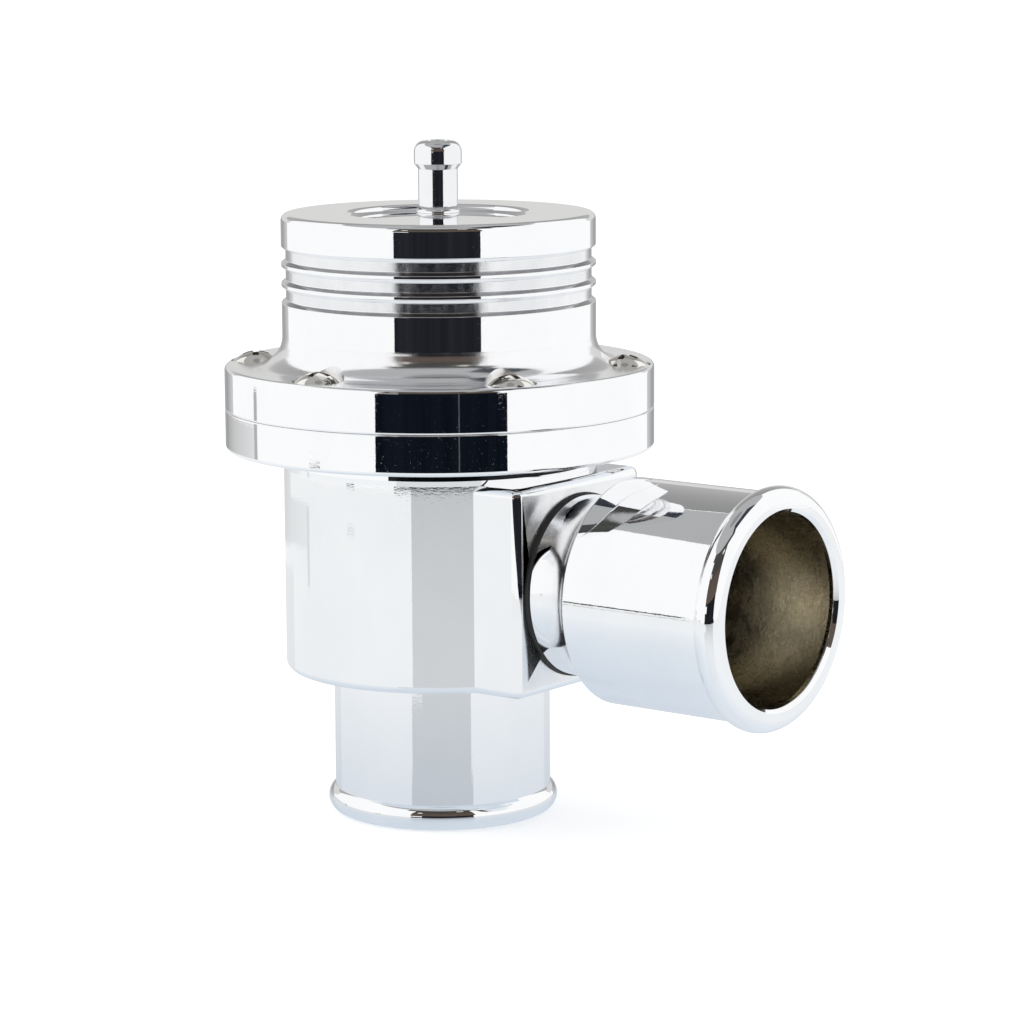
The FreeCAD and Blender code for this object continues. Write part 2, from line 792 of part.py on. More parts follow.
def make_flange_screws():
    """Six pan head screws with a cross recess, standing in a ring."""
    body = new_body("flange_screws")
    body.AllowCompound = True
    shank = s.screw_thread / 2
    head = s.screw_head_od / 2
    rise = s.screw_head_height - s.screw_head_side
    dome = (head * head + rise * rise) / (2 * rise)
    chamfer = s.stem_chamfer
    outline = Outline(0, -s.screw_length)
    outline.to(shank - chamfer, -s.screw_length)
    outline.to(shank, chamfer - s.screw_length)
    outline.to(shank, 0)
    outline.to(head, 0)
    outline.to(head, s.screw_head_side)
    outline.bend(0, s.screw_head_height, dome, LEFT)
    screw = turn_outline(body, "screw", outline, x=screw_radius)
    arm = s.cross_span / 2
    half = s.cross_width / 2
    centre = screw_radius
    cross = Outline(centre + arm, -half).to(centre + arm, half).to(centre + half, half)
    cross.to(centre + half, arm).to(centre - half, arm).to(centre - half, half)
    cross.to(centre - arm, half).to(centre - arm, -half).to(centre - half, -half)
    cross.to(centre - half, -arm).to(centre + half, -arm).to(centre + half, -half)
    sketch = new_sketch(body, "cross_sketch", "XY_Plane", z=s.screw_head_height)
    draw_outline(sketch, cross)
    recess = add_feature(body, "Pocket", "cross", sketch, Length=s.cross_depth, TaperAngle=-8.0)
    repeat_round(body, "ring", [screw, recess], s.screw_count)
    lift_to(body, screw_seat)
    body.Placement.Rotation = FreeCAD.Rotation(FreeCAD.Vector(0, 0, 1), 0)
    body.setExpression("Placement.Rotation.Angle", s.screw_start_angle.text)


def make_diaphragm():
    """The rubber diaphragm: rim bead, flat rim, a rolled wall and the disc between the plates."""
    body = new_body("diaphragm")
    half = s.membrane_thickness / 2
    rim_middle = seam - half
    disc_middle = membrane_underside + half
    roll = s.membrane_roll_radius
    hole = thread_radius + s.membrane_hole_clearance
    outline = Outline(hole, disc_middle - half)
    outline.to(disc_radius, disc_middle - half)
    outline.bend(roll_wall + half, disc_middle + roll, roll + half, LEFT)
    outline.to(roll_wall + half, rim_middle - roll)
    outline.bend(roll_outside, rim_middle - half, roll - half, RIGHT)
    outline.to(bead_inside, rim_middle - half)
    outline.to(bead_inside, seam - s.rim_bead_height)
    outline.to(bead_outside, seam - s.rim_bead_height)
    outline.to(bead_outside, seam)
    outline.to(roll_outside, seam)
    outline.bend(roll_wall - half, rim_middle - roll, roll + half, LEFT)
    outline.to(roll_wall - half, disc_middle + roll)
    outline.bend(disc_radius, disc_middle + half, roll - half, RIGHT)
    outline.to(hole, disc_middle + half)
    turn_outline(body, "moulded", outline)


def make_lower_plate():
    """The plate under the diaphragm, with its outer edge rounded away from the rubber."""
    body = new_body("lower_plate")
    edge = s.plate_edge_radius
    outline = Outline(thread_bore, 0)
    outline.to(plate_radius - edge, 0)
    outline.bend(plate_radius, edge, edge, LEFT)
    outline.to(plate_radius, s.plate_thickness - edge)
    outline.bend(plate_radius - edge, s.plate_thickness, edge, LEFT)
    outline.to(thread_bore, s.plate_thickness)
    turn_outline(body, "turned", outline)
    lift_to(body, plate_underside)


def make_spring_cup():
    """The pressed cup on the diaphragm that holds the foot of the spring."""
    body = new_body("spring_cup")
    wall = s.cup_thickness
    inner = cup_radius - wall
    bend_out = s.cup_bend_radius
    bend_in = s.cup_bend_radius - wall
    outline = Outline(thread_bore, 0)
    outline.to(cup_radius - bend_out, 0)
    outline.bend(cup_radius, bend_out, bend_out, LEFT)
    outline.to(cup_radius, s.cup_rim_height)
    outline.to(inner, s.cup_rim_height)
    outline.to(inner, wall + bend_in)
    outline.bend(inner - bend_in, wall, bend_in, RIGHT)
    outline.to(thread_bore, wall)
    turn_outline(body, "pressed", outline)
    lift_to(body, cup_underside)


def make_valve_stem():
    """The stem: tapped foot, collar that lifts the poppet, running length and threaded top."""
    body = new_body("valve_stem")
    collar = stem_radius + s.stem_collar_width
    chamfer = s.stem_chamfer
    foot = poppet_underside + s.stem_end_gap
    tap = s.screw_thread / 2 + s.thread_clearance
    tap_end = screw_tip + s.stem_end_gap
    outline = Outline(0, foot)
    outline.to(stem_radius - chamfer, foot)
    outline.to(stem_radius, foot + chamfer)
    outline.to(stem_radius, collar_underside)
    outline.to(collar, collar_underside)
    outline.to(collar, collar_top - chamfer)
    outline.to(collar - chamfer, collar_top)
    outline.to(stem_radius, collar_top)
    outline.to(stem_radius, plate_underside)
    outline.to(thread_radius, plate_underside)
    outline.to(thread_radius, stem_top - chamfer)
    outline.to(thread_radius - chamfer, stem_top)
    outline.to(0, stem_top)
    turn_outline(body, "turned", outline)
    tapped = Outline(0, foot)
    tapped.to(tap, foot)
    tapped.to(tap, tap_end)
    tapped.to(0, tap_end + tap)
    turn_outline(body, "tapped_foot", tapped, kind="Groove")


def make_stem_washer():
    """The plain washer under the stem's nut."""
    body = new_body("stem_washer")
    outer = thread_radius + s.stem_washer_width
    outline = Outline(thread_bore, 0)
    outline.to(outer, 0)
    outline.to(outer, s.stem_washer_thickness)
    outline.to(thread_bore, s.stem_washer_thickness)
    turn_outline(body, "turned", outline)
    lift_to(body, cup_floor)


def make_stem_nut():
    """The hexagon nut that clamps the diaphragm's plates, with chamfered corners."""
    body = new_body("stem_nut")
    flat = s.stem_nut_flats / 2
    corner = s.stem_nut_flats / math.sqrt(3)
    edge = corner / 2
    sketch = new_sketch(body, "hexagon_sketch", "XY_Plane")
    hexagon = Outline(corner, 0).to(edge, flat).to(-edge, flat)
    hexagon.to(-corner, 0).to(-edge, -flat).to(edge, -flat)
    draw_outline(sketch, hexagon)
    add_feature(body, "Pad", "hexagon", sketch, Length=s.stem_nut_height)
    clear = corner + s.stem_chamfer
    skirt = (clear - flat) / math.sqrt(3)
    low = Outline(flat, 0).to(clear, 0).to(clear, skirt)
    turn_outline(body, "lower_chamfer", low, kind="Groove")
    high = Outline(flat, s.stem_nut_height)
    high.to(clear, s.stem_nut_height - skirt).to(clear, s.stem_nut_height)
    turn_outline(body, "upper_chamfer", high, kind="Groove")
    cut_circle(body, "bore", 2 * thread_bore, s.stem_nut_height, level=s.stem_nut_height)
    lift_to(body, nut_underside)


def make_poppet():
    """The poppet: a disc with a cone up to its hub, bored for the stem."""
    body = new_body("poppet")
    hub = stem_bore + s.poppet_hub_wall
    edge = s.poppet_edge_chamfer
    outline = Outline(stem_bore, 0)
    outline.to(poppet_radius - edge, 0)
    outline.to(poppet_radius, edge)
    outline.to(poppet_radius, s.poppet_rim_height)
    outline.to(hub, s.poppet_rim_height + s.poppet_cone_height)
    outline.to(hub, s.poppet_hub_height)
    outline.to(stem_bore, s.poppet_hub_height)
    turn_outline(body, "turned", outline)
    lift_to(body, poppet_underside)


def make_poppet_seal():
    """The rubber ring under the poppet that closes on the seat."""
    body = new_body("poppet_seal")
    outline = Outline(seal_bore, 0)
    outline.to(seal_radius, 0)
    outline.to(seal_radius, s.poppet_seal_thickness)
    outline.to(seal_bore, s.poppet_seal_thickness)
    turn_outline(body, "moulded", outline)
    lift_to(body, seat_level)


def make_seal_retainer():
    """The stepped washer that holds the seal, countersunk from below for its screw."""
    body = new_body("seal_retainer")
    hub = seal_bore - s.retainer_fit
    edge = s.poppet_edge_chamfer
    hole = s.screw_thread / 2 + s.screw_hole_clearance
    sink = s.poppet_screw_head / 2 + s.thread_clearance
    top = s.retainer_thickness + s.poppet_seal_thickness
    outline = Outline(sink, 0)
    outline.to(retainer_radius - edge, 0)
    outline.to(retainer_radius, edge)
    outline.to(retainer_radius, s.retainer_thickness)
    outline.to(hub, s.retainer_thickness)
    outline.to(hub, top)
    outline.to(hole, top)
    outline.to(hole, sink - hole)
    turn_outline(body, "turned", outline)
    lift_to(body, retainer_underside)


def make_poppet_screw():
    """The countersunk screw up into the stem's foot, with a hexagon socket."""
    body = new_body("poppet_screw")
    head = s.poppet_screw_head / 2
    shank = s.screw_thread / 2
    outline = Outline(0, 0)
    outline.to(head, 0)
    outline.to(shank, head - shank)
    outline.to(shank, s.poppet_screw_length - s.stem_chamfer)
    outline.to(shank - s.stem_chamfer, s.poppet_screw_length)
    outline.to(0, s.poppet_screw_length)
    turn_outline(body, "turned", outline)
    flat = s.poppet_screw_socket / 2
    corner = s.poppet_screw_socket / math.sqrt(3)
    edge = corner / 2
    sketch = new_sketch(body, "socket_sketch", "XY_Plane")
    socket = Outline(corner, 0).to(edge, flat).to(-edge, flat)
    socket.to(-corner, 0).to(-edge, -flat).to(edge, -flat)
    draw_outline(sketch, socket)
    add_feature(
        body, "Pocket", "socket", sketch, Length=s.poppet_screw_socket_depth, Reversed=True)
    lift_to(body, retainer_underside)


def make_guide_bush():
    """The flanged bronze bush that guides the stem, grooved inside for the stem's seal."""
    body = new_body("guide_bush")
    groove = stem_radius + s.stem_seal_clearance + s.stem_seal_wire
    seal_middle = bush_top - s.stem_seal_drop
    groove_low = seal_middle - s.stem_seal_wire / 2
    groove_high = seal_middle + s.stem_seal_wire / 2
    flange_level = bush_top - s.bush_flange_thickness
    outline = Outline(stem_bore, boss_underside)
    outline.to(bush_radius, boss_underside)
    outline.to(bush_radius, flange_level)
    outline.to(bush_flange_radius, flange_level)
    outline.to(bush_flange_radius, bush_top)
    outline.to(stem_bore, bush_top)
    outline.to(stem_bore, groove_high)
    outline.to(groove, groove_high)
    outline.to(groove, groove_low)
    outline.to(stem_bore, groove_low)
    turn_outline(body, "turned", outline)


def make_stem_seal():
    """The O-ring in the bush that keeps the vacuum side apart from the flow."""
    ring = doc.addObject("Part::Torus", "stem_seal")
    ring.Label = "stem_seal"
    middle = stem_radius + s.stem_seal_clearance + s.stem_seal_wire / 2
    ring.setExpression("Radius1", middle.text)
    ring.setExpression("Radius2", (s.stem_seal_wire / 2).text)
    lift_to(ring, bush_top - s.stem_seal_drop)


def make_bush_circlip():
    """The snap ring, open on one side, that holds the bush down in the guide plate."""
    body = new_body("bush_circlip")
    outer = bush_flange_radius + s.bush_fit + s.circlip_slot_depth - s.circlip_clearance
    outline = Outline(outer - s.circlip_width, 0)
    outline.to(outer, 0)
    outline.to(outer, s.circlip_thickness)
    outline.to(outer - s.circlip_width, s.circlip_thickness)
    turn_outline(body, "ring", outline, angle=360 - s.circlip_gap_angle)
    lift_to(body, bush_top)


def make_spring_shim():
    """The flat washer between the spring and the cap."""
    body = new_body("spring_shim")
    inner = spring_boss_radius + s.spring_shim_clearance
    outer = spring_outside + s.spring_shim_margin
    outline = Outline(inner, 0)
    outline.to(outer, 0)
    outline.to(outer, s.spring_shim_thickness)
    outline.to(inner, s.spring_shim_thickness)
    turn_outline(body, "turned", outline)
    lift_to(body, spring_top)


def spring_rise(turn, closed, active, closed_pitch, height):
    """Height of the wire's middle after a number of turns: closed, open and closed again."""
    open_pitch = (height - 2 * closed * closed_pitch) / active
    total = 2 * closed + active
    if turn <= closed:
        return turn * closed_pitch
    if turn >= total - closed:
        return height - (total - turn) * closed_pitch
    return closed * closed_pitch + (turn - closed) * open_pitch


def make_return_spring():
    """The coil spring, wound along a path whose end turns lie close, with ends ground flat."""
    wire = s.spring_wire.value
    closed_pitch = wire + s.spring_coil_gap.value
    radius = spring_outside.value - wire / 2
    foot = cup_floor.value
    height = spring_top.value - foot
    closed = s.spring_closed_coils.value
    active = s.spring_active_coils.value
    steps = 16
    count = int(round((2 * closed + active) * steps))
    points = []
    for step in range(count + 1):
        turn = step / steps
        around = 2 * math.pi * turn
        rise = foot + spring_rise(turn, closed, active, closed_pitch, height)
        points.append(FreeCAD.Vector(radius * math.cos(around), radius * math.sin(around), rise))
    curve = Part.BSplineCurve()
    curve.interpolate(points)
    path = Part.Wire(curve.toShape())
    start = curve.value(curve.FirstParameter)
    tangent = curve.tangent(curve.FirstParameter)[0]
    section = Part.Wire(Part.makeCircle(wire / 2, start, tangent))
    coil = Part.BRepOffsetAPI.MakePipeShell(path)
    coil.setFrenetMode(True)
    coil.add(section)
    coil.build()
    coil.makeSolid()
    slab = Part.makeCylinder(2 * radius, height, FreeCAD.Vector(0, 0, foot))
    spring = doc.addObject("Part::Feature", "return_spring")
    spring.Label = "return_spring"
    spring.Shape = coil.shape().common(slab).Solids[0]


# Where the first flange screw stands, and how far the poppet's screw reaches
screw_angle = math.radians(SIZES["screw_start_angle"])
screw_x = screw_radius * math.cos(screw_angle)
screw_y = screw_radius * math.sin(screw_angle)
screw_tip = retainer_underside + s.poppet_screw_length

for make in (
        make_valve_body, make_guide_plate, make_outlet_spigot, make_outlet_seal, make_cap, make_vacuum_nipple,
        make_flange_screws, make_diaphragm, make_lower_plate, make_spring_cup, make_return_spring,
        make_valve_stem, make_stem_washer, make_stem_nut, make_poppet, make_poppet_seal,
        make_seal_retainer, make_poppet_screw, make_guide_bush, make_stem_seal,
        make_bush_circlip, make_spring_shim):
    make()
doc.recompute()

for item in doc.Objects:
    if "Invalid" in item.State or "Error" in item.State:
        raise RuntimeError("%s failed: %s" % (item.Name, item.State))

os.makedirs("parts", exist_ok=True)
pieces = [
    item for item in doc.RootObjects
    if item.isDerivedFrom("PartDesign::Body") or item.isDerivedFrom("Part::Feature")]
for piece in pieces:
    shape = piece.Shape
    if shape.isNull() or not shape.isValid():
        raise RuntimeError("%s has no valid shape" % piece.Label)
for piece in pieces:
    piece.Shape.exportStep(os.path.join("parts", piece.Label + ".step"))
    print("%-16s %d solid(s) %9.1f mm3" % (
        piece.Label, len(piece.Shape.Solids), piece.Shape.Volume))
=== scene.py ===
"""Blow off valve with a side outlet: its pieces, their finishes, the studio and the camera.

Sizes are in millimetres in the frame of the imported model. The valve's axis is Z, the rim of the
inlet stands on z = 0 and the outlet points to +X. Meshes are put into Blender in metres.
"""
import logging
from dataclasses import dataclass, field, replace
from enum import Enum
from functools import cache

import bpy
import numpy as np
from mathutils import Matrix, Vector


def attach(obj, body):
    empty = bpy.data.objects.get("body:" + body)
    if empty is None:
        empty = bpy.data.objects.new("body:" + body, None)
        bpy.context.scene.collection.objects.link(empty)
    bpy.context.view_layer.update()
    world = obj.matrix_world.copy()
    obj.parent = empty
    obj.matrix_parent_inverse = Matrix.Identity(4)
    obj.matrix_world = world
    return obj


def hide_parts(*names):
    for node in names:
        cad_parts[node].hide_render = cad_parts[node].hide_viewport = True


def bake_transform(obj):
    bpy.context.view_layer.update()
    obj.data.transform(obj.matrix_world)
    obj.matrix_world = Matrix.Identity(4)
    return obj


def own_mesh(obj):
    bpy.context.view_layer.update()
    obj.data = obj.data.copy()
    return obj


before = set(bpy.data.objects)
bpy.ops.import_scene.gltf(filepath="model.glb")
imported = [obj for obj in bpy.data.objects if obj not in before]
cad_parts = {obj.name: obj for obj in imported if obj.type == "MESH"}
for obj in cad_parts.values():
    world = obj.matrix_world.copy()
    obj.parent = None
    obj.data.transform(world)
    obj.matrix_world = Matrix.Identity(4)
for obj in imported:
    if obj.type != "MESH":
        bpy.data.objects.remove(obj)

MM = 0.001
TURN = 2 * np.pi
ORIGIN = np.zeros(3)
UP = np.array([0.0, 0.0, 1.0])
TO_OUTLET = np.array([1.0, 0.0, 0.0])
HOLE_STEPS = 48
ARC_STEP = 0.14
WELD = 1e-4
log = logging.getLogger("blow_off_valve")


class Side(Enum):
    """Which way an arc turns, seen along its run."""

    LEFT = 1.0
    RIGHT = -1.0


class Axis(Enum):
    """The axis that a half outline is turned about."""

    VALVE = "Z"
    OUTLET = "X"


# ----------------------------------------------------------------------------- surfaces


def fan(start: float, end: float, count: int) -> np.ndarray:
    """Angles from start to end in degrees, as count equal steps in radians."""
    return np.radians(np.linspace(start, end, count + 1))


def full_turn(count: int) -> np.ndarray:
    """One closed turn in count equal steps, in radians."""
    return fan(0.0, 360.0, count)


def apart(angles: np.ndarray, at: float) -> np.ndarray:
    """How far angles lie from one angle, from minus half a turn to half a turn."""
    return (angles - at + np.pi) % TURN - np.pi


def columns(*parts: np.ndarray | float) -> np.ndarray:
    """Coordinates that are given one by one, as one array of points or normals."""
    return np.stack(np.broadcast_arrays(*parts), -1)


def ring(radius: np.ndarray | float, level: np.ndarray | float, angles: np.ndarray) -> np.ndarray:
    """Points round the valve's axis: (r cos a, r sin a, z)."""
    return columns(radius * np.cos(angles), radius * np.sin(angles), level)


def border_of(first: np.ndarray, second: np.ndarray) -> np.ndarray:
    """Pairs of values round the rectangle that two rows of values span."""
    return np.concatenate([
        columns(first, second[0])[:-1], columns(first[-1], second)[:-1],
        columns(first[::-1], second[-1])[:-1], columns(first[0], second[::-1])])


@dataclass
class HalfOutline:
    """Half section of a turned piece, drawn with the material on its left.

    Each run is a pair of arrays (points, normals), n by 2. A line is p + t (q - p). An arc is
    c + R (cos a, sin a), and its normal is +-(cos a, sin a), whichever points off the material.

    Attributes:
        at: The point that the next run starts from.
        runs: The runs so far.
    """

    at: tuple[float, float]
    runs: list[tuple[np.ndarray, np.ndarray]] = field(default_factory=list)

    def to(self, x: float, y: float, rows: int = 1) -> "HalfOutline":
        """Draw a straight line.

        Args:
            x: First coordinate of the end.
            y: Second coordinate of the end.
            rows: Number of equal steps along the line.

        Returns:
            The outline itself.
        """
        start, end = np.array(self.at), np.array([x, y], float)
        along = (end - start) / np.linalg.norm(end - start)
        points = start + np.linspace(0, 1, rows + 1)[:, None] * (end - start)
        self.runs.append((points, np.tile([along[1], -along[0]], (rows + 1, 1))))
        self.at = (x, y)
        return self

    def through(self, *corners: tuple[float, float, float]) -> "HalfOutline":
        """Draw straight lines through corners that are rounded where they have a radius.

        Formula: a corner where the line turns by d is cut back by r tan(d / 2) on both sides and
        gets an arc of radius r. The last corner's radius isn't used.

        Args:
            *corners: Two coordinates and the radius of each corner.

        Returns:
            The outline itself.
        """
        spots = np.array([(*self.at, 0.0), *corners], float)
        for before, here, after in zip(spots, spots[1:], spots[2:]):
            into = (here[:2] - before[:2]) / np.linalg.norm(here[:2] - before[:2])
            out = (after[:2] - here[:2]) / np.linalg.norm(after[:2] - here[:2])
            cross = into[0] * out[1] - into[1] * out[0]
            cut = here[2] * np.tan(abs(np.arctan2(cross, into @ out)) / 2)
            self.to(*(here[:2] - cut * into))
            if here[2] > 0:
                side = Side.LEFT if cross > 0 else Side.RIGHT
                self.bend(*(here[:2] + cut * out), here[2], side)
        return self.to(*spots[-1][:2])

    def bend(self, x: float, y: float, radius: float, side: Side, rows: int = 0) -> "HalfOutline":
        """Draw an arc of less than half a circle.

        Args:
            x: First coordinate of the end.
            y: Second coordinate of the end.
            radius: Radius of the arc.
            side: Whether it turns left or right.
            rows: Number of steps, or 0 for one about every eight degrees.

        Returns:
            The outline itself.
        """
        start, end = np.array(self.at), np.array([x, y], float)
        chord = end - start
        length = np.linalg.norm(chord)
        left = np.array([-chord[1], chord[0]]) / length
        away = np.sqrt(max(radius**2 - length**2 / 4, 0.0))
        centre = (start + end) / 2 + side.value * away * left
        first = np.arctan2(*(start - centre)[::-1])
        sweep = side.value * 2 * np.arcsin(min(length / 2 / radius, 1.0))
        steps = rows or max(3, int(np.ceil(abs(sweep) / ARC_STEP)))
        angle = first + sweep * np.linspace(0, 1, steps + 1)
        out = np.stack([np.cos(angle), np.sin(angle)], 1)
        self.runs.append((centre + radius * out, side.value * out))
        self.at = (x, y)
        return self

    def lean(self, first: float, last: float) -> "HalfOutline":
        """Lean the last run's normals up by slopes from first to last, like a worn edge."""
        points, normals = self.runs[-1]
        slopes = np.linspace(first, last, len(points))
        self.runs[-1] = (points, normals + np.column_stack([0 * slopes, slopes]))
        return self

    def turned(self, angles: np.ndarray, axis: Axis = Axis.VALVE, level: float = 0.0
               ) -> list[tuple[np.ndarray, np.ndarray]]:
        """Turn every run about an axis.

        Formula, about the valve's axis: (r cos a, r sin a, z), and about the outlet's axis, from
        (x, r): (x, -r sin a, level + r cos a).

        Args:
            angles: The angles of the turn, in radians.
            axis: The axis to turn about.
            level: Height of the outlet's axis.

        Returns:
            One grid of points and one of normals for each run.
        """
        def sweep(values: np.ndarray, lift: float) -> np.ndarray:
            """Turn points, or normals with no lift."""
            first, second = values[:, :1], values[:, 1:]
            if axis is Axis.VALVE:
                return ring(first, second, angles)
            return columns(first, -second * np.sin(angles), lift + second * np.cos(angles))

        return [(sweep(points, level), sweep(normals, 0.0)) for points, normals in self.runs]


@dataclass
class Skin:
    """The surfaces of one piece, which are welded into one mesh that keeps their exact normals.

    Attributes:
        name: Name of the piece.
        finishes: Names of its finishes, in the order of the material indices.
        kind: Which of the finishes the next surfaces get.
        cells: Corner points of all four-sided cells, count by 4 by 3.
        leans: Normals at those corners.
        kinds: The finish of each cell.
    """

    name: str
    finishes: tuple[str, ...] = ()
    kind: int = 0
    cells: list[np.ndarray] = field(default_factory=list)
    leans: list[np.ndarray] = field(default_factory=list)
    kinds: list[np.ndarray] = field(default_factory=list)

    def use(self, finish: str) -> None:
        """Give the next surfaces one of the piece's finishes."""
        self.kind = self.finishes.index(finish)

    @staticmethod
    def corners(grid: np.ndarray) -> np.ndarray:
        """The four corners of every cell of an n by m grid, as count by 4 by 3."""
        cells = np.stack([grid[:-1, :-1], grid[1:, :-1], grid[1:, 1:], grid[:-1, 1:]], 2)
        return cells.reshape(-1, 4, 3)

    def add(self, points: np.ndarray, normals: np.ndarray) -> None:
        """Add a surface, a grid of points with normals that may be one vector for all."""
        self.cells.append(self.corners(points))
        self.leans.append(self.corners(np.broadcast_to(normals, points.shape)))
        self.kinds.append(np.full(len(self.cells[-1]), self.kind))

    def span(self, one: np.ndarray, other: np.ndarray, normals: np.ndarray) -> None:
        """Add the surface between two lines of points."""
        self.add(np.stack([one, other]), normals)

    def add_flats(self, points: np.ndarray, inside: np.ndarray, hollow: bool = False) -> None:
        """Add a surface of flat facets, each with its own normal (p2 - p0) x (p3 - p1).

        Args:
            points: Grid of points.
            inside: A point that all facets face away from.
            hollow: Whether they face that point instead.
        """
        cells = self.corners(points)
        facing = np.cross(cells[:, 2] - cells[:, 0], cells[:, 3] - cells[:, 1])
        facing /= np.maximum(np.linalg.norm(facing, axis=1, keepdims=True), 1e-12)
        outward = (cells.mean(1) - inside) * (-1 if hollow else 1)
        facing *= np.where((facing * outward).sum(1, keepdims=True) < 0, -1, 1)
        self.cells.append(cells)
        self.leans.append(np.repeat(facing[:, None], 4, 1))
        self.kinds.append(np.full(len(cells), self.kind))

    def turn(self, outline: HalfOutline, angles: np.ndarray, axis: Axis = Axis.VALVE,
             level: float = 0.0) -> None:
        """Add the surfaces of a turned half outline."""
        for points, normals in outline.turned(angles, axis, level):
            self.add(points, normals)

    def bridge(self, one: np.ndarray, other: np.ndarray, normal: np.ndarray,
               centre: np.ndarray = ORIGIN) -> None:
        """Fill the flat face between two closed loops that need not have equal counts.

        Both loops are sorted by their angle about the centre. At each angle of either loop, the
        last point of each loop up to that angle is joined to the other.

        Args:
            one: Points of the first loop, n by 3.
            other: Points of the second loop, m by 3.
            normal: The face's normal, along X or along Z.
            centre: A point inside both loops.
        """
        across = (1, 2) if abs(normal[0]) > 0.5 else (0, 1)
        loops, angles = [], []
        for loop in (one, other):
            offset = loop[:, across] - centre[list(across)]
            angle = np.round(np.arctan2(offset[:, 1], offset[:, 0]) % TURN, 8)
            angle = np.where(angle >= round(TURN, 8), 0.0, angle)
            order = np.argsort(angle, kind="stable")
            loops.append(loop[order])
            angles.append(angle[order])
        steps = np.unique(np.concatenate(angles))
        steps = np.append(steps, steps[0])
        rows = [loop[np.searchsorted(angle, steps, side="right") - 1]
                for loop, angle in zip(loops, angles)]
        self.span(*rows, normal)

    def place(self, spots: list[Matrix]) -> None:
        """Replace the surfaces by one copy of them at each of the spots."""
        turns = [(np.array(spot.to_3x3()), np.array(spot.to_translation())) for spot in spots]
        self.cells = [cells @ spin.T + shift for spin, shift in turns for cells in self.cells]
        self.leans = [leans @ spin.T for spin, shift in turns for leans in self.leans]
        self.kinds = self.kinds * len(spots)

    def build(self) -> bpy.types.Object:
        """Weld the cells and make the mesh.

        Corners that agree to 0.0001 mm become one vertex. A cell with two corners that meet
        becomes a triangle, and a cell with fewer than three corners is dropped. Each cell is
        wound so that it faces the way of its normals.

        Returns:
            The new object, at the origin.
        """
        cells, leans = np.concatenate(self.cells), np.concatenate(self.leans)
        facing = np.cross(cells[:, 2] - cells[:, 0], cells[:, 3] - cells[:, 1])
        wrong = ((facing * leans.sum(1)).sum(1) < 0)[:, None, None]
        cells = np.where(wrong, cells[:, ::-1], cells)
        leans = np.where(wrong, leans[:, ::-1], leans)
        keys, place = np.unique(np.round(cells.reshape(-1, 3) / WELD).astype(np.int64), axis=0,
                                return_inverse=True)
        place = place.reshape(-1, 4)
        vertices = np.zeros((len(keys), 3))
        vertices[place.ravel()] = cells.reshape(-1, 3)
        kept = place != np.roll(place, 1, axis=1)
        full = kept.sum(1) >= 3
        kept, place, leans = kept[full], place[full], leans[full]
        kinds = np.concatenate(self.kinds)[full]
        normals = leans[kept]
        normals = normals / np.linalg.norm(normals, axis=1, keepdims=True)
        corners = place[kept]
        counts = kept.sum(1)
        mesh = bpy.data.meshes.new(self.name)
        mesh.vertices.add(len(vertices))
        mesh.loops.add(len(corners))
        mesh.polygons.add(len(counts))
        mesh.vertices.foreach_set("co", (vertices * MM).astype(np.float32).ravel())
        mesh.loops.foreach_set("vertex_index", corners.astype(np.int32))
        mesh.polygons.foreach_set("loop_start", (np.cumsum(counts) - counts).astype(np.int32))
        mesh.polygons.foreach_set("use_smooth", np.ones(len(counts), bool))
        mesh.polygons.foreach_set("material_index", kinds.astype(np.int32))
        mesh.update(calc_edges=True)
        mesh.normals_split_custom_set(normals.tolist())
        piece = bpy.data.objects.new(self.name, mesh)
        bpy.context.scene.collection.objects.link(piece)
        return piece


